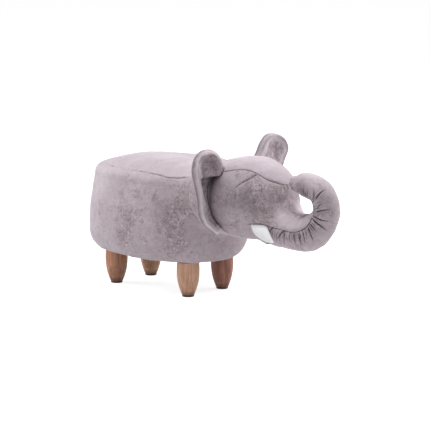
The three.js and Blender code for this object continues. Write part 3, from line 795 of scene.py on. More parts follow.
def wood(name, light, dark, offset, grain_size=WOOD_GRAIN, foot=None):
    """Stained wood whose grain runs up the leg; `foot` is where it starts to darken downwards."""
    material, tree, shader = new_material(name)
    place = object_place(tree, WOOD_STRETCH, offset)
    growth = noise_node(tree, place, *WOOD_GROWTH)
    fibres = noise_node(tree, place, grain_size, 5, 0.65, 0.3)
    pores = noise_node(tree, place, grain_size / 3, 2, 0.5)
    bands = math_node(tree, "ADD", multiply(tree, growth, GROWTH_SHARE), multiply(tree, fibres, FIBRE_SHARE))
    colour = mix_node(tree, ramp_node(tree, bands, 0.32, 0.68), dark, light)
    colour = mix_node(tree, ramp_node(tree, pores, 0.62, 0.75, 0.0, PORE_SHARE), colour, dark)
    # Darker towards the foot
    if foot is not None:
        level = add_node(tree, "SeparateXYZ", "Z", {"Vector": add_node(tree, "TexCoord", "Object", {})})
        foot_dark = ramp_node(tree, level, foot * FOOT_DARK_END_SHARE, foot, 0.75, 0.0)
        colour = mix_node(tree, foot_dark, colour, WOOD_FOOT_DARK)
    finish_shader(tree, shader, fibres, WOOD_BUMP, 0.35, {
        "Base Color": colour,
        "Roughness": ramp_node(tree, fibres, 0.3, 0.7, 0.42, 0.62),
        "Specular IOR Level": 0.35,
    })
    return material


PLAIN_GRAIN = 0.002
PLAIN_BUMP = 0.0002


def plain(name, colour, rough, metallic=0.0, grain=PLAIN_GRAIN, variation=0.12):
    """A plain finish with a faint grain, for what lies inside or underneath."""
    material, tree, shader = new_material(name)
    pattern = noise_node(tree, object_place(tree), grain, 4, 0.6)
    darker = tuple(c * (1 - variation * 2) for c in colour[:3]) + (1.0,)
    finish_shader(tree, shader, pattern, PLAIN_BUMP, 0.3, {
        "Base Color": mix_node(tree, ramp_node(tree, pattern, 0.3, 0.7), darker, colour),
        "Roughness": rough,
        "Metallic": metallic,
    })
    return material


# Covers of the seat
BODY_ANGLES = np.linspace(0, 2 * math.pi, 520, endpoint=False)[None, :]
BODY_WAVES = ((0.0009, 0.11, 3), (0.0003, 0.03, 4))
BODY_CALM_REACH = 0.03
PUCKER_REACH = 0.010
SIDE_PUCKERS = ((0.0006, 0.012, 5),)
SEAT_PUCKERS = ((0.0005, 0.012, 7),)
TUCKS = ((0.0006, 0.016, 6),)
SEAM_LINE = 0.0009
SEAM_DARKNESS = 0.75
NECK_SEAM_DARK = (0.0010, 0.0020)
TUCK_STRETCH = np.array([1, 1, 0.2])
TUCK_SHARE = 0.22
HEM_SHARES = (1, 0.66, 0.33)

# Where the seat is padded a little fuller, behind the left ear
FULLER_PLACE = np.array([0.088, 0.078, 0.272])
FULLER_REACH = 0.060
FULLER_RISE = 0.009


def body_relief(points, normals):
    relief = unevenness(points, BODY_WAVES)
    front = points[..., 0] > NECK_X - NECK_MARGIN
    relief[front] *= smoothstep(outside_head(points[front]), 0.0, BODY_CALM_REACH)
    fuller = FULLER_RISE * bell(np.linalg.norm(points - FULLER_PLACE, axis=-1), FULLER_REACH)
    return points + normals * (relief + fuller)[..., None]


def join_head(points, normals, dip, seam_and_shade):
    """Lifts the cover where the head joins it and sews it down there; returns the points and their seam
    darkening.
    """
    near = points[..., 0] > NECK_X - NECK_MARGIN
    result = points - normals * dip[..., None]
    seam = neck_seam(points[near], outside_head)
    lifted = flow_together(points[near], normals[near], outside_head, valley_reach(points[near]))
    result[near] = lifted - normals[near] * np.maximum(seam, dip[near])[..., None]
    seam_and_shade = seam_and_shade + np.zeros(points.shape[:-1])
    seam_and_shade[near] = np.maximum(seam_and_shade[near], SEAM_DARKNESS * smoothstep(seam, *NECK_SEAM_DARK))
    return result, seam_and_shade


def body_cover(points, seam_line, puckers, tuck_share=0):
    """Relief, seam, puckers and tucks of a cover of the seat; returns its points and their seam darkening.
    """
    normals = -ring_normals(points)
    distance = np.linalg.norm(points - seam_line, axis=-1)
    seam_share = seat_seam_share(BODY_ANGLES, points)
    points = body_relief(points, normals)
    rise = np.exp(-distance / PUCKER_REACH) * unevenness(points, puckers)
    rise = rise + tuck_share * unevenness(points * TUCK_STRETCH, TUCKS)
    seam_and_shade = SEAM_DARKNESS * np.exp(-distance / SEAM_LINE) * seam_share
    return join_head(points, normals, seam_dip(distance) * seam_share - rise, seam_and_shade)


def side_cover(material):
    shares = runs((0, 0.9, 96), (0.9, 1, 26))[:, None]
    points = body_point(BODY_ANGLES, shares * body_seam(BODY_ANGLES))
    points, seam_and_shade = body_cover(points, points[-1:], SIDE_PUCKERS, 1 - smoothstep(shares, 0, TUCK_SHARE))
    hem = []
    for share in HEM_SHARES:
        inset = UNDERSIDE_INSET + HEM_WIDTH * share
        hem.append(oval(BODY_ANGLES, BODY_LENGTH / 2 - inset, BODY_WIDTH / 2 - inset, UNDERSIDE))
    points = np.concatenate(hem + [points])
    seam_and_shade = np.concatenate([np.zeros((len(hem), seam_and_shade.shape[1])), seam_and_shade])
    piece = add_grid("side_cover_sewn", points, seam_and_shade=seam_and_shade)
    dress(piece, material, ["side_cover", "side_foam"])


def seat_cover(material):
    shares = runs((0, 0.09, 22), (0.09, 0.9995, 70))[:, None]
    points = body_point(BODY_ANGLES, lerp(body_seam(BODY_ANGLES), 1, shares))
    points, seam_and_shade = body_cover(points, points[:1], SEAT_PUCKERS)
    piece = add_grid("seat_cover_sewn", points, seam_and_shade=seam_and_shade)
    dress(piece, material, ["seat_cover", "seat_foam"])


# Covers of the head and trunk
TIP_END = SPINE_END + 0.985
EDGE_CROWDING = 0.72


def panel_points(places, shares, turn_from, turn_to):
    """A panel's smooth surface, its normals, and the distances in metres to its two long edges."""
    place = places[:, None]
    turn = lerp(turn_from(place), turn_to(place), shares[None, :])
    points = head_point(place, turn)
    ahead = head_point(np.minimum(place + TURN_STEP, SPINE_END + 1 - TURN_STEP), turn)
    along = ahead - head_point(np.maximum(place - TURN_STEP, 0), turn)
    around = head_point(place, turn + TURN_STEP) - head_point(place, turn - TURN_STEP)
    normals = unit(np.cross(around, along))
    centre = spine_at(np.minimum(place, SPINE_END))[0]
    outwards = ((points - centre) * normals).sum(-1)
    normals = normals * np.sign(np.where(outwards == 0, 1, outwards))[..., None]
    widths = np.linalg.norm(np.diff(points, axis=1), axis=-1)
    from_start = np.concatenate([np.zeros((len(places), 1)), np.cumsum(widths, axis=1)], axis=1)
    return points, normals, from_start, from_start[:, -1:] - from_start, place


def edge_dense(count):
    """Shares from 0 to 1, closer together towards both ends."""
    t = np.linspace(0, 1, count)
    return t - 0.5 * np.sin(2 * math.pi * t) / math.pi * EDGE_CROWDING


# Listed folds: where each starts and ends (row of the spine, degrees round it), depth, width, bow.
TRUNK_FOLDS = [
    ((9.71, 92), (9.88, 153), 0.0032, 0.0014, 0.05),
    ((9.70, 76), (10.18, 117), 0.0026, 0.0013, 0.04),
    ((9.25, 84), (9.44, 120), 0.0018, 0.0012, 0.03),
    ((9.06, 78), (9.18, 150), 0.0022, 0.0013, 0.04),
    ((8.76, 72), (8.80, 148), 0.0028, 0.0013, -0.03),
    ((8.53, 76), (8.42, 154), 0.0030, 0.0014, 0.04),
    ((8.28, 80), (8.14, 120), 0.0018, 0.0011, 0.0),
    ((7.99, 80), (7.62, 140), 0.0031, 0.0014, 0.05),
    ((7.78, 81), (7.52, 116), 0.0020, 0.0011, 0.02),
    ((7.56, 82), (7.34, 124), 0.0027, 0.0013, 0.02),
    ((7.34, 82), (7.13, 126), 0.0028, 0.0013, 0.02),
    ((7.12, 82), (7.00, 112), 0.0018, 0.0011, 0.0),
    ((6.78, 83), (6.74, 114), 0.0024, 0.0012, 0.0),
    ((6.49, 86), (6.22, 122), 0.0028, 0.0014, -0.02),
    ((5.92, 92), (5.70, 118), 0.0020, 0.0013, -0.03),
    ((5.62, 95), (5.48, 112), 0.0014, 0.0012, 0.0),
]
SOFT_FOLDS = [
    ((6.37, 16), (6.58, 72), 0.0016, 0.0028, 0.03),
    ((6.60, 20), (6.84, 70), 0.0013, 0.0026, 0.03),
    ((7.10, 22), (7.20, 66), 0.0012, 0.0026, 0.02),
    ((6.02, 22), (6.18, 74), 0.0010, 0.0030, 0.03),
    ((4.40, 1), (4.62, -3), 0.0012, 0.0014, 0.0),
    ((4.38, 9), (4.62, 8), 0.0013, 0.0014, 0.0),
    ((4.33, 16), (4.58, 18), 0.0012, 0.0013, 0.0),
    ((4.25, 24), (4.50, 30), 0.0010, 0.0014, 0.0),
    ((2.98, 98), (3.65, 116), 0.0010, 0.0030, 0.05),
    ((2.90, 108), (3.30, 122), 0.0008, 0.0030, 0.05),
    ((12.45, 60), (11.72, 68), 0.0012, 0.0013, 0.0),
    ((12.45, 96), (11.60, 92), 0.0014, 0.0014, 0.0),
    ((12.45, 128), (11.78, 122), 0.0011, 0.0013, 0.0),
    ((12.45, 160), (11.70, 152), 0.0012, 0.0013, 0.0),
]

# Painted shadow of each ear on the head beside it, stronger under the hood
EAR_SHADOW = 0.62
HOOD_SHADOW = 0.88
EAR_SHADOW_REACH = (0.0045, 0.020)
HOOD_SHADOW_DROP = 0.012
HOOD_SHADOW_HEIGHT = 0.020
EAR_SHADOW_FADE = 0.010
EAR_SHADOW_SIDES = (0.05, 0.075)
EAR_SHADOW_AHEAD = 0.004
EAR_SHADOW_START = (-0.012, -0.004)
# Painted shade in the folds' creases, full where a crease is this deep
FOLD_CREASE_SHADE = 0.85
FOLD_FULL = 0.0023
# Painted shade over the gathers near the gusset's seam
GATHER_SHADE = 0.06
GATHER_SHADE_REACH = 0.028
# Painted highlights on the ridges between the gathers
RIDGE_HIGHLIGHT = 0.55
RIDGE_REACH = 0.009
HEAD_SEAM_DARK = (0.0016, 0.0027)
RIDGE_SEAM_DARK = (0.0008, 0.0020)
HEAD_WAVES = ((0.0008, 0.075, 11), (0.0003, 0.022, 12))
SEAM_CALM_REACH = 0.006
SEAT_CALM_REACH = 0.010

# Rows of the spine between which the cover is drawn into streaks, and into gathers
STREAK_ROWS = ((5.2, 6.4), (11.2, 12.0))
GATHER_ROWS = ((5.2, 6.2), (10.2, 11.0))

# Fine streaks drawn out from the gusset's seam: their reach, a spine row's length, depth and tone
STREAK_REACH = 0.034
STREAK_ROW = 0.046
STREAK_STRETCH = 0.10
STREAK_SIZE = 0.0034
STREAK_DEPTH = 0.00035
STREAK_SHADE = 0.07

# Small gathers: the part of the seam that has them, their pitch, and how far they reach round the trunk.
GATHER_SPAN = (5.4, 10.9)
GATHER_PITCH = 0.0044
GATHER_PITCH_SHARES = (0.55, 1.7)
GATHER_DEPTHS = (0.0008, 0.0023)
GATHER_WIDTH = 0.0012
GATHER_SLANT = 0.05
GATHER_DEGREES = (16, 58)
INNER_DEGREES = (5, 16)
INNER_DEPTH_SHARE = 0.4
GATHER_SEED = 21


def small_gathers():
    """Small folds on both sides of the gusset's seam, at uneven distances."""
    random = np.random.default_rng(GATHER_SEED)
    places = np.linspace(*GATHER_SPAN, 400)
    seam_line = head_point(places, gusset_turn(places))
    arc = np.concatenate([[0], np.cumsum(np.linalg.norm(np.diff(seam_line, axis=0), axis=-1))])
    at = 0.0
    while at < arc[-1]:
        place = np.interp(at, arc, places)
        degrees = math.degrees(gusset_turn(place))
        slant = random.uniform(-GATHER_SLANT, GATHER_SLANT)
        fade = min(1, 0.4 + (place - GATHER_SPAN[0]) / 1.5)
        depth = random.uniform(*GATHER_DEPTHS) * fade
        end = (place + slant, degrees + random.uniform(*GATHER_DEGREES))
        yield (place, degrees + 1), end, depth, GATHER_WIDTH, 0.0
        if random.uniform() < 0.5:
            end = (place - slant, degrees - random.uniform(*INNER_DEGREES))
            yield (place, degrees - 1), end, depth * INNER_DEPTH_SHARE, GATHER_WIDTH, 0.0
        at += GATHER_PITCH * random.uniform(*GATHER_PITCH_SHARES)


def all_folds():
    return TRUNK_FOLDS + SOFT_FOLDS + list(small_gathers())


def near_ear(points):
    """Painted shadow of an ear's front on the head, strongest under its hood, by how near a point of the
    head lies to it.
    """
    z = points[..., 2]
    under_hood = bell(z - EAR_HOOD_LEVEL + HOOD_SHADOW_DROP, HOOD_SHADOW_HEIGHT)
    reach = lerp(*EAR_SHADOW_REACH, under_hood)
    below = 1 - smoothstep(z, EAR_HOOD_LEVEL, EAR_HOOD_LEVEL + EAR_SHADOW_FADE)
    beside = smoothstep(np.abs(points[..., 1]), *EAR_SHADOW_SIDES)
    ahead = points[..., 0] - (EAR_X + EAR_SHADOW_AHEAD + ear_sweep(z, EAR_TOP - EAR_HEIGHT))
    strength = lerp(EAR_SHADOW, HOOD_SHADOW, under_hood) * np.exp(-np.clip(ahead, 0, 1) / reach)
    return strength * smoothstep(ahead, *EAR_SHADOW_START) * below * beside


def head_cover(name, nodes, material, places, columns, turns, seams, sides=(1, -1), folds=()):
    """One panel of the head and trunk, with its relief, seams, folds and tones."""
    points, normals, from_start, from_end, place = panel_points(places, edge_dense(columns), *turns)
    distance = np.minimum(from_start, from_end)
    clear = smoothstep(outside_body(points), 0.0, SEAT_CALM_REACH)
    relief = unevenness(points, HEAD_WAVES) * smoothstep(distance, 0.0, SEAM_CALM_REACH) * clear
    seam = np.maximum(seams(points, place, from_start, from_end) * clear, neck_seam(points, outside_body))
    sink, dark = fold_field(points, folds, sides)
    grain = stack(0.0, place * STREAK_ROW, distance * STREAK_STRETCH)
    streaks = window(place, *STREAK_ROWS) * bell(distance, STREAK_REACH) * soft_noise(grain, STREAK_SIZE, 51)
    relief = relief + STREAK_DEPTH * streaks
    points = flow_together(points, normals, outside_body, valley_reach(points))
    points = points + normals * (relief - seam - sink)[..., None]
    dark = dark / FOLD_FULL
    # Dark seams, and painted shade in the folds' creases
    seam_and_shade = np.maximum(SEAM_DARKNESS * smoothstep(seam, *HEAD_SEAM_DARK), FOLD_CREASE_SHADE * np.clip(dark, 0, 1))
    # Adds the painted shadow of the ears on the head, and the streaks' tone
    seam_and_shade = seam_and_shade + near_ear(points) + STREAK_SHADE * streaks
    pale = 0.0
    if len(sides) == 2:
        gathered = window(place, *GATHER_ROWS)
        # Painted shade over the gathers near the seam
        seam_and_shade = seam_and_shade + GATHER_SHADE * gathered * bell(distance, GATHER_SHADE_REACH)
        # Painted highlights on the ridges between the folds
        ridges = gathered * bell(distance, RIDGE_REACH) * (1 - np.clip(dark * 2, 0, 1))
        pale = RIDGE_HIGHLIGHT * ridges * (1 - smoothstep(seam, *RIDGE_SEAM_DARK))
    piece = add_grid(name, points, closed=False, seam_and_shade=seam_and_shade, pale=pale)
    dress(piece, material, nodes)


# How the seam under the cheek shows along the spine: hardly behind the tusk, most at the foot of the curl
GUSSET_SEAM_ROWS = (3.6, 4.1)
DRAWN_ROWS = ((7.2, 7.8), (8.8, 9.6))
HIDDEN_SEAM_SHARE = 0.12
DRAWN_SEAM_SHARE = 0.5

# The seam between the two cheeks hardly shows past the forehead's end.
MIDDLE_SEAM_ROWS = (FOREHEAD_END - 0.02, FOREHEAD_END + 0.10)
MIDDLE_SEAM_SHARE = 0.10

# The dart on each cheek, as (row of the spine, degrees from the inner side), and how strong it is there
DART = [(3.32, 36), (3.19, 48), (3.06, 56), (2.97, 60), (2.86, 66), (2.80, 71), (2.78, 76)]
DART_SHARES = (1.0, 1.0, 0.95, 0.85, 0.65, 0.5)
DART_DEPTH = 0.0020
DART_WIDTH = 0.0018


def gusset_dip(place, distance):
    share = lerp(HIDDEN_SEAM_SHARE, 1, smoothstep(place, *GUSSET_SEAM_ROWS))
    return seam_dip(distance) * (share + DRAWN_SEAM_SHARE * window(place, *DRAWN_ROWS))


def trunk_seams(points, place, from_start, from_end):
    return gusset_dip(place, from_start) + gusset_dip(place, from_end)


def cheek_seams(side):
    dart = [head_point(np.array(p), np.array(math.radians(d * side))) for p, d in DART]

    def seams(points, place, from_start, from_end):
        middle_share = lerp(1, MIDDLE_SEAM_SHARE, smoothstep(place, *MIDDLE_SEAM_ROWS))
        total = gusset_dip(place, from_start) + seam_dip(from_end) * middle_share
        for start, end, share in zip(dart, dart[1:], DART_SHARES):
            distance, _ = along_step(points, start, end)
            total = np.maximum(total, share * seam_dip(distance, DART_DEPTH, DART_WIDTH))
        return total
    return seams


def forehead_cover(material):
    places = runs((0, 3.9, 110), (3.9, FOREHEAD_END, 44))
    turns = (forehead_turn, lambda place: -forehead_turn(place))

    def seams(points, place, from_start, from_end):
        return seam_dip(from_start) + seam_dip(from_end)
    nodes = ["forehead_panel", "head_stuffing"]
    head_cover("forehead_cover_sewn", nodes, material, places, 110, turns, seams)


def cheek_cover(side, material):
    name = "left" if side > 0 else "right"
    places = runs((0, 3.9, 170), (3.9, 4.7, 40), (4.7, SPINE_END, 420), (SPINE_END, TIP_END, 14))

    def top(place):
        return side * np.where(place <= FOREHEAD_END, forehead_turn(place), 0)

    def bottom(place):
        return side * gusset_turn(place)
    head_cover(
        f"cheek_cover_{name}", [f"cheek_panel_{name}"], material, places, 104, (bottom, top),
        cheek_seams(side), sides=(side,), folds=all_folds())


def gusset_cover(material):
    places = runs((0, 4.8, 60), (4.8, 11, 460), (11, SPINE_END, 24), (SPINE_END, TIP_END, 14))
    turns = (gusset_turn, lambda place: 2 * math.pi - gusset_turn(place))
    nodes = ["trunk_gusset", "trunk_stuffing"]
    head_cover("trunk_gusset_sewn", nodes, material, places, 130, turns, trunk_seams, folds=all_folds())


# Ears

EAR_OUT = 0.150
EAR_HEIGHT = 0.186
EAR_TOP = SEAM_LEVEL + 0.075
EAR_X = BODY_FRONT + 0.008
EAR_CUP = 0.010
EAR_CUP_REACH = (0.007, 0.034)
EAR_ROLL = 0.0085
EAR_FIELD_PAD = 0.003
EAR_SWEEP = 0.029
EAR_SWEEP_HEIGHT = 0.054
EAR_LOW_SHARE = 0.35
EAR_LOW_ROLL = 0.75
EAR_LOW_BACK = 1.35
EAR_LOBE_TOP = (0.02, 0.10)
EAR_SOFT_REACH = 0.008
EAR_WAVES = ((0.0005, 0.014, 31), (0.0010, 0.040, 35))
EAR_STREAKS = (0.0005, 0.007, 38)
EAR_STREAK_STRETCH = 0.15

# The hood over the ear's hollow, the recess below it, and the root where the ear joins the head
EAR_HOOD = 0.005
EAR_HOOD_LEVEL = SEAM_LEVEL + 0.012
EAR_HOOD_EDGE = 0.003
EAR_HOOD_START = 0.006
EAR_HOOD_REACH = (0.024, 0.046)
EAR_HOOD_SPAN = (0.085, 0.120)
EAR_RECESS = 0.006
EAR_RECESS_TOP = (0.05, 0.09)
HOOD_CORNER = 0.011
HOOD_CORNER_REACH = 0.013
EAR_ROOT_DEPTH = 0.0035
EAR_ROOT_REACH = 0.0045
EAR_ROOT_RIM = 0.01

# What differs between the left ear (1) and the right one (-1)
EAR_LIFT = {1: 0.004, -1: -0.003}
# Painted shade in the right ear's hollow, more below its hood
EAR_SHADE = {1: 0.0, -1: 0.32}
EAR_LOW_SHADE = {1: 0.0, -1: 0.12}
EAR_BLOTCH = {1: 0.27, -1: 0.12}
# Painted shade in the groove inside the rim, and where it lies
EAR_GROOVE_SHADE = {1: 0.50, -1: 0.18}
EAR_GROOVE_PLACE = {1: 0.0055, -1: 0.0102}
# A painted highlight on each ear's rim roll, and where it lies
EAR_RIM_HIGHLIGHT = {1: 0.8, -1: 1.0}
EAR_RIM_PLACE = {1: 0.0115, -1: 0.0045}
# Painted light over the left ear's front
EAR_PAINTED_LIGHT = {1: 0.60, -1: 0.0}

# Tones of both ears, by the distance from the rim
EAR_INNER_RIM = (0.005, 0.020)
EAR_BLOTCH_RIM = (0.013, 0.019)
EAR_BLOTCH_SIZE = 0.010
EAR_GROOVE_WIDTH = (0.0026, 0.0042)
EAR_GROOVE_TONES = (0.7, 1.3)
EAR_OUTER_SPAN = (0.095, 0.130)
EAR_RIM_WIDTH = 0.0034
EAR_LINE = 0.0009
# The dark seam line round the rim; the same strength of painted shade along the root, where the ear meets
# the head
EAR_LINE_SHADE = 0.6
EAR_VEIN_SIZE = 0.0045
EAR_VEIN_STRETCH = 0.22
EAR_VEIN_PALE = 0.9
EAR_VEIN_RIM = (0.012, 0.024)
EAR_PRINTS = (0.25, 0.6)
EAR_SHARES = [
    (0.655, 0.035), (0.72, 0.088), (0.787, 0.150), (0.835, 0.265), (0.878, 0.398), (0.935, 0.56),
    (0.985, 0.70), (1.00, 0.80), (0.955, 0.915), (0.85, 0.983), (0.70, 1.00), (0.55, 0.965),
    (0.44, 0.88), (0.385, 0.78), (0.31, 0.68), (0.30, 0.40), (0.38, 0.16), (0.54, 0.05),
]
EAR_MIDDLE = (0.70, 0.62)

# The left ear's inner edge and top, which stand further in over the head
LEFT_EAR_SHARES = {
    5: (0.85, 0.56), 6: (0.92, 0.69), 7: (0.995, 0.81), 8: (0.962, 0.915), 9: (0.86, 0.985),
    10: (0.71, 1.025), 11: (0.555, 1.025), 12: (0.435, 0.955), 13: (0.345, 0.845), 14: (0.25, 0.70),
}


def closed_curve(points, count):
    """Evenly spaced points on a smooth closed curve."""
    points = np.asarray(points, float)
    rows = np.concatenate([points[-2:], points, points[:3]])
    fine = smooth_row(rows, np.linspace(2, len(points) + 2, 2000))
    arc = np.concatenate([[0], np.cumsum(np.linalg.norm(np.diff(fine, axis=0), axis=-1))])
    wanted = np.linspace(0, arc[-1], count, endpoint=False)
    return np.stack([np.interp(wanted, arc, fine[:, i]) for i in range(2)], axis=-1)


def nearest_distance(points, outline):
    """Distance from each flat point to a dense closed outline."""
    flat = points.reshape(-1, 2)
    result = np.empty(len(flat))
    for start in range(0, len(flat), CHUNK):
        away = flat[start:start + CHUNK, None, :] - outline[None, :, :]
        result[start:start + CHUNK] = np.sqrt((away ** 2).sum(-1)).min(1)
    return result.reshape(points.shape[:-1])


def ear_sweep(z, bottom):
    """How far the lower lobe swings forward round the cheek."""
    return EAR_SWEEP * np.clip(1 - (z - bottom) / EAR_SWEEP_HEIGHT, 0, 1.2) ** 1.6


def ear_plan(side, bottom):
    """The ear seen from the front: distance from the rim, and places across and up, ring by ring."""
    shape = list(EAR_SHARES)
    if side > 0:
        for i, share in LEFT_EAR_SHARES.items():
            shape[i] = share
    size = np.array([EAR_OUT, EAR_HEIGHT])
    middle = np.array(EAR_MIDDLE) * size
    shares = runs((0.001, 0.7, 44), (0.7, 1, 44))[:, None, None]
    flat = middle + (closed_curve(shape, 360) * size - middle)[None] * shares
    rim = nearest_distance(flat, closed_curve(shape, 1400) * size)
    rim[-1] = 0
    return rim, flat[..., 0], bottom + flat[..., 1]


def ear_tones(side, rim, y, z, place, hood, root):
    """How dark and how pale the front of an ear is: a dark seam line, random blotches and pale veins,
    painted shade in the hollow, the groove and at the root, a painted highlight on the rim and painted light
    over the left ear.
    """
    line = EAR_LINE_SHADE * np.exp(-rim / EAR_LINE)
    outer = smoothstep(y, *EAR_OUTER_SPAN)
    # Painted shade in the groove inside the rim
    groove = EAR_GROOVE_SHADE[side] * bell(rim - EAR_GROOVE_PLACE[side], lerp(*EAR_GROOVE_WIDTH, outer))
    blotch = smoothstep(soft_noise(place, EAR_BLOTCH_SIZE, 51 + side), 0.10, 0.55)
    # Painted shade in the hollow, more below the hood, then random blotches
    shade = (EAR_SHADE[side] + EAR_LOW_SHADE[side] * (1 - hood)) * smoothstep(rim, *EAR_INNER_RIM)
    shade = shade + EAR_BLOTCH[side] * blotch * smoothstep(rim, *EAR_BLOTCH_RIM)
    # The seam line, painted shade at the root, in the hollow and in the groove
    seam_and_shade = np.maximum(line, EAR_LINE_SHADE * root) + shade + groove * lerp(*EAR_GROOVE_TONES, outer)
    drawn = stack(rim, y * EAR_VEIN_STRETCH, z * EAR_VEIN_STRETCH)
    vein = np.clip(soft_noise(drawn, EAR_VEIN_SIZE, 44 + side), 0, 1) * (1 - smoothstep(rim, *EAR_VEIN_RIM))
    # Painted light on the left ear, a painted highlight along the rim, and pale veins
    pale = EAR_PAINTED_LIGHT[side] + EAR_RIM_HIGHLIGHT[side] * bell(rim - EAR_RIM_PLACE[side], EAR_RIM_WIDTH)
    return seam_and_shade, pale + EAR_VEIN_PALE * vein, line


def ear(side, front_material, back_material):
    name = "left" if side > 0 else "right"
    bottom = EAR_TOP + EAR_LIFT[side] - EAR_HEIGHT
    rim, y, z = ear_plan(side, bottom)
    low, high = EAR_LOBE_TOP

    # The lower lobe is thinner, hardly cupped, and swings forward round the cheek.
    thick = smoothstep(z, bottom + low, bottom + high)
    lobe = lerp(EAR_LOW_SHARE, 1, thick)
    sheet = EAR_X + EAR_CUP * lobe * (1 - smoothstep(rim, *EAR_CUP_REACH)) + ear_sweep(z, bottom)
    roll_size = EAR_ROLL * lerp(EAR_LOW_ROLL, 1, thick)
    roll = np.sqrt(np.clip(1 - (1 - np.clip(rim / roll_size, 0, 1)) ** 2, 0, 1)) * roll_size
    field = smoothstep(rim, *EAR_CUP_REACH) * lobe
    place = stack(sheet, y, z)
    soft = smoothstep(rim, 0, EAR_SOFT_REACH)
    crumple = unevenness(place, EAR_WAVES, side)
    drawn = stack(rim, y * EAR_STREAK_STRETCH, z * EAR_STREAK_STRETCH)
    streaks = unevenness(drawn, [EAR_STREAKS], side) * (1 - field)

    # The hood over the hollow, the recess under it and the root
    inside = smoothstep(rim, EAR_HOOD_START, lerp(*EAR_HOOD_REACH, smoothstep(y, *EAR_HOOD_SPAN)))
    hood = smoothstep(z, EAR_HOOD_LEVEL - EAR_HOOD_EDGE, EAR_HOOD_LEVEL + EAR_HOOD_EDGE)
    low, high = EAR_RECESS_TOP
    recess = EAR_RECESS * (1 - hood) * smoothstep(z, bottom + low, bottom + high)
    hooding = (EAR_HOOD * hood - recess) * inside
    front = roll - (roll_size - EAR_FIELD_PAD) * field + (crumple + streaks) * soft + hooding
    back = roll * lerp(EAR_LOW_BACK, 1, thick) + crumple * 0.8 * soft
    head_gap = outside_head(stack(sheet + front, y, z))
    above = np.clip(z - EAR_HOOD_LEVEL, 0, 1)
    front = front + HOOD_CORNER * hood * bell(above, HOOD_CORNER_REACH) * bell(head_gap, HOOD_CORNER_REACH)
    root = bell(np.clip(head_gap, 0, 1), EAR_ROOT_REACH)
    front = front - EAR_ROOT_DEPTH * root * smoothstep(rim, 0, EAR_ROOT_RIM)

    seam_and_shade, pale, line = ear_tones(side, rim, y, z, place, hood, root)
    layers = (
        ("front", sheet + front, seam_and_shade, lerp(*EAR_PRINTS, field), pale, front_material),
        ("back", sheet - back, line, 0.0, 0.0, back_material),
    )
    for layer, x, layer_seam_and_shade, more_print, layer_pale, material in layers:
        piece = add_grid(
            f"ear_{layer}_{name}_sewn", stack(x, side * y, z), seam_and_shade=layer_seam_and_shade, more_print=more_print,
            pale=layer_pale, flip=(layer == "back") != (side < 0))
        dress(piece, material, [f"ear_{layer}_{name}"])


# Tusks

TUSK_PLACES = (3.87, 5.28)
TUSK_FORWARD = 0.0265
TUSK_SPREAD = 0.0035
TUSK_DROP = 0.0335
TUSK_HALF_WIDTH = 0.0100
TUSK_ROOT_DEPTH = 0.0045
TUSK_BELLY_SHARES = (0.40, 1.08)
TUSK_END_SHARE = 0.93
TUSK_ROOT_SHARE = 0.3
TUSK_WAVES = ((0.0003, 0.012, 41),)

# Down the tusk, shares of its full half width
TUSK_WIDTH_SHARES = [0.42, 0.90, 1.0, 0.96, 0.86, 0.70, 0.46, 0.30]


def tusk(side, material):
    name = "left" if side > 0 else "right"
    rear, front = (head_point(np.array(p), gusset_turn(np.array(p))) for p in TUSK_PLACES)
    point = front + np.array([TUSK_FORWARD, TUSK_SPREAD, -TUSK_DROP])
    belly_along, belly_drop = TUSK_BELLY_SHARES
    belly = lerp(rear, point, belly_along)
    belly[2] = front[2] - TUSK_DROP * belly_drop
    t = np.linspace(0, TUSK_END_SHARE, 60)[:, None]
    rear_edge = (1 - t) ** 2 * rear + 2 * t * (1 - t) * belly + t ** 2 * point
    front_edge = lerp(front, point, t)
    centre = (rear_edge + front_edge) / 2
    half = (front_edge - rear_edge) / 2
    row = t[:, 0] * (len(TUSK_WIDTH_SHARES) - 1) / TUSK_END_SHARE
    width = TUSK_HALF_WIDTH * smooth_row(TUSK_WIDTH_SHARES, row)
    centre[:, 1] -= TUSK_ROOT_DEPTH * (1 - smoothstep(t[:, 0], 0, TUSK_ROOT_SHARE))

    # A rounded point past the last section.
    dome = np.linspace(0, math.pi / 2, 12)[1:, None]
    shrink = np.cos(dome) + 0.001
    forward = unit(centre[-1] - centre[-2]) * np.linalg.norm(half[-1])
    centre = np.concatenate([centre, centre[-1] + np.sin(dome) * forward])
    half = np.concatenate([half, shrink * half[-1]])
    width = np.concatenate([width, shrink[:, 0] * width[-1]])
    around = np.linspace(0, 2 * math.pi, 56, endpoint=False)[None, :, None]
    across = stack(0.0, width, 0.0)[:, None, :]
    points = centre[:, None, :] + half[:, None, :] * np.cos(around) + across * np.sin(around)
    outwards = unit(points - points.mean(1, keepdims=True))
    points = points + outwards * unevenness(points, TUSK_WAVES)[..., None]
    points[..., 1] *= side
    piece = add_grid(f"tusk_{name}_felt", points, flip=side > 0)
    dress(piece, material, [f"tusk_{name}"])


# Legs

LEG_HEIGHT = 0.073
LEG_RADIUS = 0.0242
LEG_BELLY = 0.0012
FOOT_RADIUS = 0.0130
LEG_POWER = 2.6
LEG_EDGE = 0.0015
LEG_STEPS = 96
LEG_FOOT_SHARE = 0.24
BOLT_HOLE = 0.0045
GLIDE_EDGE = 0.0006
# Each leg's light and dark wood colour: partly the wood's own tone, partly painted light, the front right
# leg lighter and the front left leg darker
LEG_TONES_AND_LIGHT = {
    "rear_right": (srgb(214, 157, 126), srgb(144, 97, 73)),
    "rear_left": (srgb(222, 174, 142), srgb(170, 126, 98)),
    "front_right": (srgb(232, 186, 158), srgb(184, 138, 110)),
    "front_left": (srgb(198, 144, 126), srgb(142, 95, 80)),
}


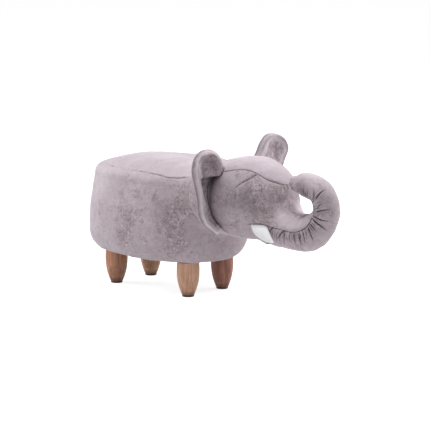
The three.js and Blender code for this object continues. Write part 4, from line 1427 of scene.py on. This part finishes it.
def turned(name, rings, centre):
    """A round piece from its profile, (radius, height) by (radius, height)."""
    around = np.linspace(0, 2 * math.pi, LEG_STEPS, endpoint=False)[None, :]
    radius, z = np.array(rings).T[:, :, None]
    points = stack(centre.x + radius * np.cos(around), centre.y + radius * np.sin(around), z) - SHIFT
    return add_grid(name, points)


def leg(corner):
    low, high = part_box(f"leg_{corner}")
    centre = middle_of(f"leg_{corner}")
    shares = np.linspace(0, 1, 60)
    radius = LEG_RADIUS - (LEG_RADIUS - FOOT_RADIUS) * (1 - shares) ** LEG_POWER
    radius = radius + LEG_BELLY * np.sin(math.pi * shares)
    height = lerp(low.z, high.z - LEG_EDGE, shares)
    bevel = np.linspace(0, math.pi / 2, 6)[1:]
    rings = [
        (0.0, low.z), (FOOT_RADIUS * 0.5, low.z),
        (FOOT_RADIUS - GLIDE_EDGE, low.z), (FOOT_RADIUS, low.z + GLIDE_EDGE)]
    rings += zip(radius[1:], height[1:])
    rings += zip(LEG_RADIUS - LEG_EDGE * (1 - np.cos(bevel)), high.z - LEG_EDGE * (1 - np.sin(bevel)))
    rings += [(LEG_RADIUS * 0.6, high.z), (BOLT_HOLE, high.z)]
    piece = turned(f"leg_{corner}_turned", rings, centre)
    light, dark = LEG_TONES_AND_LIGHT[corner]
    offset = (centre.y * 7, centre.x * 5, 0.3)
    material = wood(f"leg_wood_{corner}", light, dark, offset, foot=LEG_HEIGHT * LEG_FOOT_SHARE)
    dress(piece, material, [f"leg_{corner}"])


def glide(corner, material):
    """The thin dark pad under a leg, as wide as the leg's foot."""
    low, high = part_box(f"leg_glide_{corner}")
    rings = [
        (0.0, low.z), (FOOT_RADIUS - GLIDE_EDGE, low.z), (FOOT_RADIUS, low.z + GLIDE_EDGE),
        (FOOT_RADIUS, high.z), (0.0, high.z)]
    piece = turned(f"leg_glide_{corner}_pad", rings, middle_of(f"leg_glide_{corner}"))
    dress(piece, material, [f"leg_glide_{corner}"])


FINE_GRAINS = {"frame_wood": 0.004, "hardboard": 0.003, "lining": 0.0015, "steel": 0.001, "glide": 0.0008}


def paint_frame():
    """Finishes of the CAD nodes that stay as they are."""
    light, dark = srgb(214, 186, 144), srgb(182, 148, 104)
    finishes = {
        "frame_wood": wood("frame_wood", light, dark, (0, 0, 0), FINE_GRAINS["frame_wood"]),
        "hardboard": plain("hardboard", srgb(132, 98, 66), 0.8, grain=FINE_GRAINS["hardboard"]),
        "lining": plain("lining", srgb(44, 44, 48), 0.95, grain=FINE_GRAINS["lining"], variation=0.2),
        "zinc_steel": plain("zinc_steel", srgb(196, 198, 202), 0.35, 1.0, FINE_GRAINS["steel"]),
    }
    slots = {row["node"]: row["material_slot"] for row in frame["record"]["subparts"]}
    for node, piece in frame["nodes"].items():
        if slots[node] in finishes:
            piece.data.materials.clear()
            piece.data.materials.append(finishes[slots[node]])


# Camera, lights and floor

CAMERA_REACH = 50.0
FLOOR_HALF = 8.0
FLOOR_CORNERS = ((-1, -1), (1, -1), (1, 1), (-1, 1))
WORLD_LIGHT = {"Color": (0.97, 0.97, 1.0, 1), "Strength": 0.30}
FLOOR_GREY = (0.78, 0.78, 0.78, 1)
FLOOR_SEEN_GREY = (0.66, 0.66, 0.66, 1)
FLOOR_GLOW = 0.80
LIGHT_AIM = (0.05, 0.0, 0.2)

# Each softbox: its place, side and watts
SOFTBOXES = {
    "top_softbox": ((0.55, 0.05, 2.2), 1.8, 41),
    "left_softbox": ((-2.0, -1.10, 1.2), 1.3, 30),
    "back_softbox": ((0.8, 2.2, 1.1), 1.2, 26),
}


def face(piece, direction):
    """Turns a camera or lamp so that it looks against a direction."""
    piece.rotation_euler = direction.to_track_quat("Z", "Y").to_euler()


def add_camera():
    lens = bpy.data.cameras.new("camera")
    lens.sensor_fit = "HORIZONTAL"
    lens.sensor_width = SENSOR_WIDTH
    lens.lens = FOCAL_PIXELS / PHOTO_WIDTH * SENSOR_WIDTH
    lens.clip_end = CAMERA_REACH
    camera = add_piece("camera", lens)
    back = Vector((
        math.sin(CAMERA_AZIMUTH) * math.cos(CAMERA_ELEVATION),
        -math.cos(CAMERA_AZIMUTH) * math.cos(CAMERA_ELEVATION),
        math.sin(CAMERA_ELEVATION)))
    camera.location = Vector(CAMERA_TARGET) + Vector(SHIFT) + back * CAMERA_DISTANCE
    face(camera, back)
    bpy.context.scene.camera = camera


def by_ray(tree, indirect, direct, output):
    """Shows one surface to rays the camera sees, directly or in a reflection, and another to the rest."""
    rays = tree.nodes.new("ShaderNodeLightPath").outputs
    seen = math_node(tree, "MAXIMUM", rays["Is Camera Ray"], rays["Is Glossy Ray"])
    seen = math_node(tree, "MAXIMUM", seen, rays["Is Transmission Ray"])
    mix = add_node(tree, "MixShader", "Shader", {"Fac": seen, 1: indirect, 2: direct})
    fill_sockets(tree, output, {"Surface": mix})


def add_world():
    world = bpy.data.worlds.new("studio")
    bpy.context.scene.world = world
    world.use_nodes = True
    tree = world.node_tree
    tree.nodes.clear()
    light = add_node(tree, "Background", "Background", WORLD_LIGHT)
    white = add_node(tree, "Background", "Background", {"Color": (1, 1, 1, 1)})
    by_ray(tree, light, white, tree.nodes.new("ShaderNodeOutputWorld"))


def add_floor():
    mesh = bpy.data.meshes.new("floor")
    mesh.from_pydata([(x * FLOOR_HALF, y * FLOOR_HALF, 0) for x, y in FLOOR_CORNERS], [], [(0, 1, 2, 3)])
    add_piece("floor", mesh)
    material, tree, shader = new_material("floor_white")
    tree.nodes.remove(shader)
    matt = add_node(tree, "BsdfDiffuse", "BSDF", {"Color": FLOOR_GREY})
    seen_matt = add_node(tree, "BsdfDiffuse", "BSDF", {"Color": FLOOR_SEEN_GREY})
    glow = add_node(tree, "Emission", "Emission", {"Strength": FLOOR_GLOW})
    seen = add_node(tree, "AddShader", "Shader", {0: seen_matt, 1: glow})
    by_ray(tree, matt, seen, tree.nodes["Material Output"])
    mesh.materials.append(material)


def add_lights():
    for name, (place, side, watts) in SOFTBOXES.items():
        light = bpy.data.lights.new(name, "AREA")
        light.shape = "RECTANGLE"
        light.size, light.size_y = side, side
        light.energy = watts
        lamp = add_piece(name, light)
        lamp.location = place
        face(lamp, Vector(place) - Vector(LIGHT_AIM))


add_camera()
add_world()
add_floor()
add_lights()
paint_frame()
suede_main = suede("suede", 0.51, 1.0)
suede_top = suede("suede_top", 0.56, 0.55)
suede_ear = suede("suede_ear", 0.48, 1.05, 0.7)
side_cover(suede_main)
seat_cover(suede_top)
forehead_cover(suede_top)
cheek_cover(1, suede_main)
cheek_cover(-1, suede_main)
gusset_cover(suede_main)
ear(1, suede_ear, suede_main)
ear(-1, suede_ear, suede_main)
felt_white = felt()
tusk(1, felt_white)
tusk(-1, felt_white)
glide_plastic = plain("glide_plastic", srgb(70, 48, 38), 0.55, grain=FINE_GRAINS["glide"])
for corner_name in LEG_TONES_AND_LIGHT:
    leg(corner_name)
    glide(corner_name, glide_plastic)

bpy.context.scene.view_settings.view_transform = "Standard"
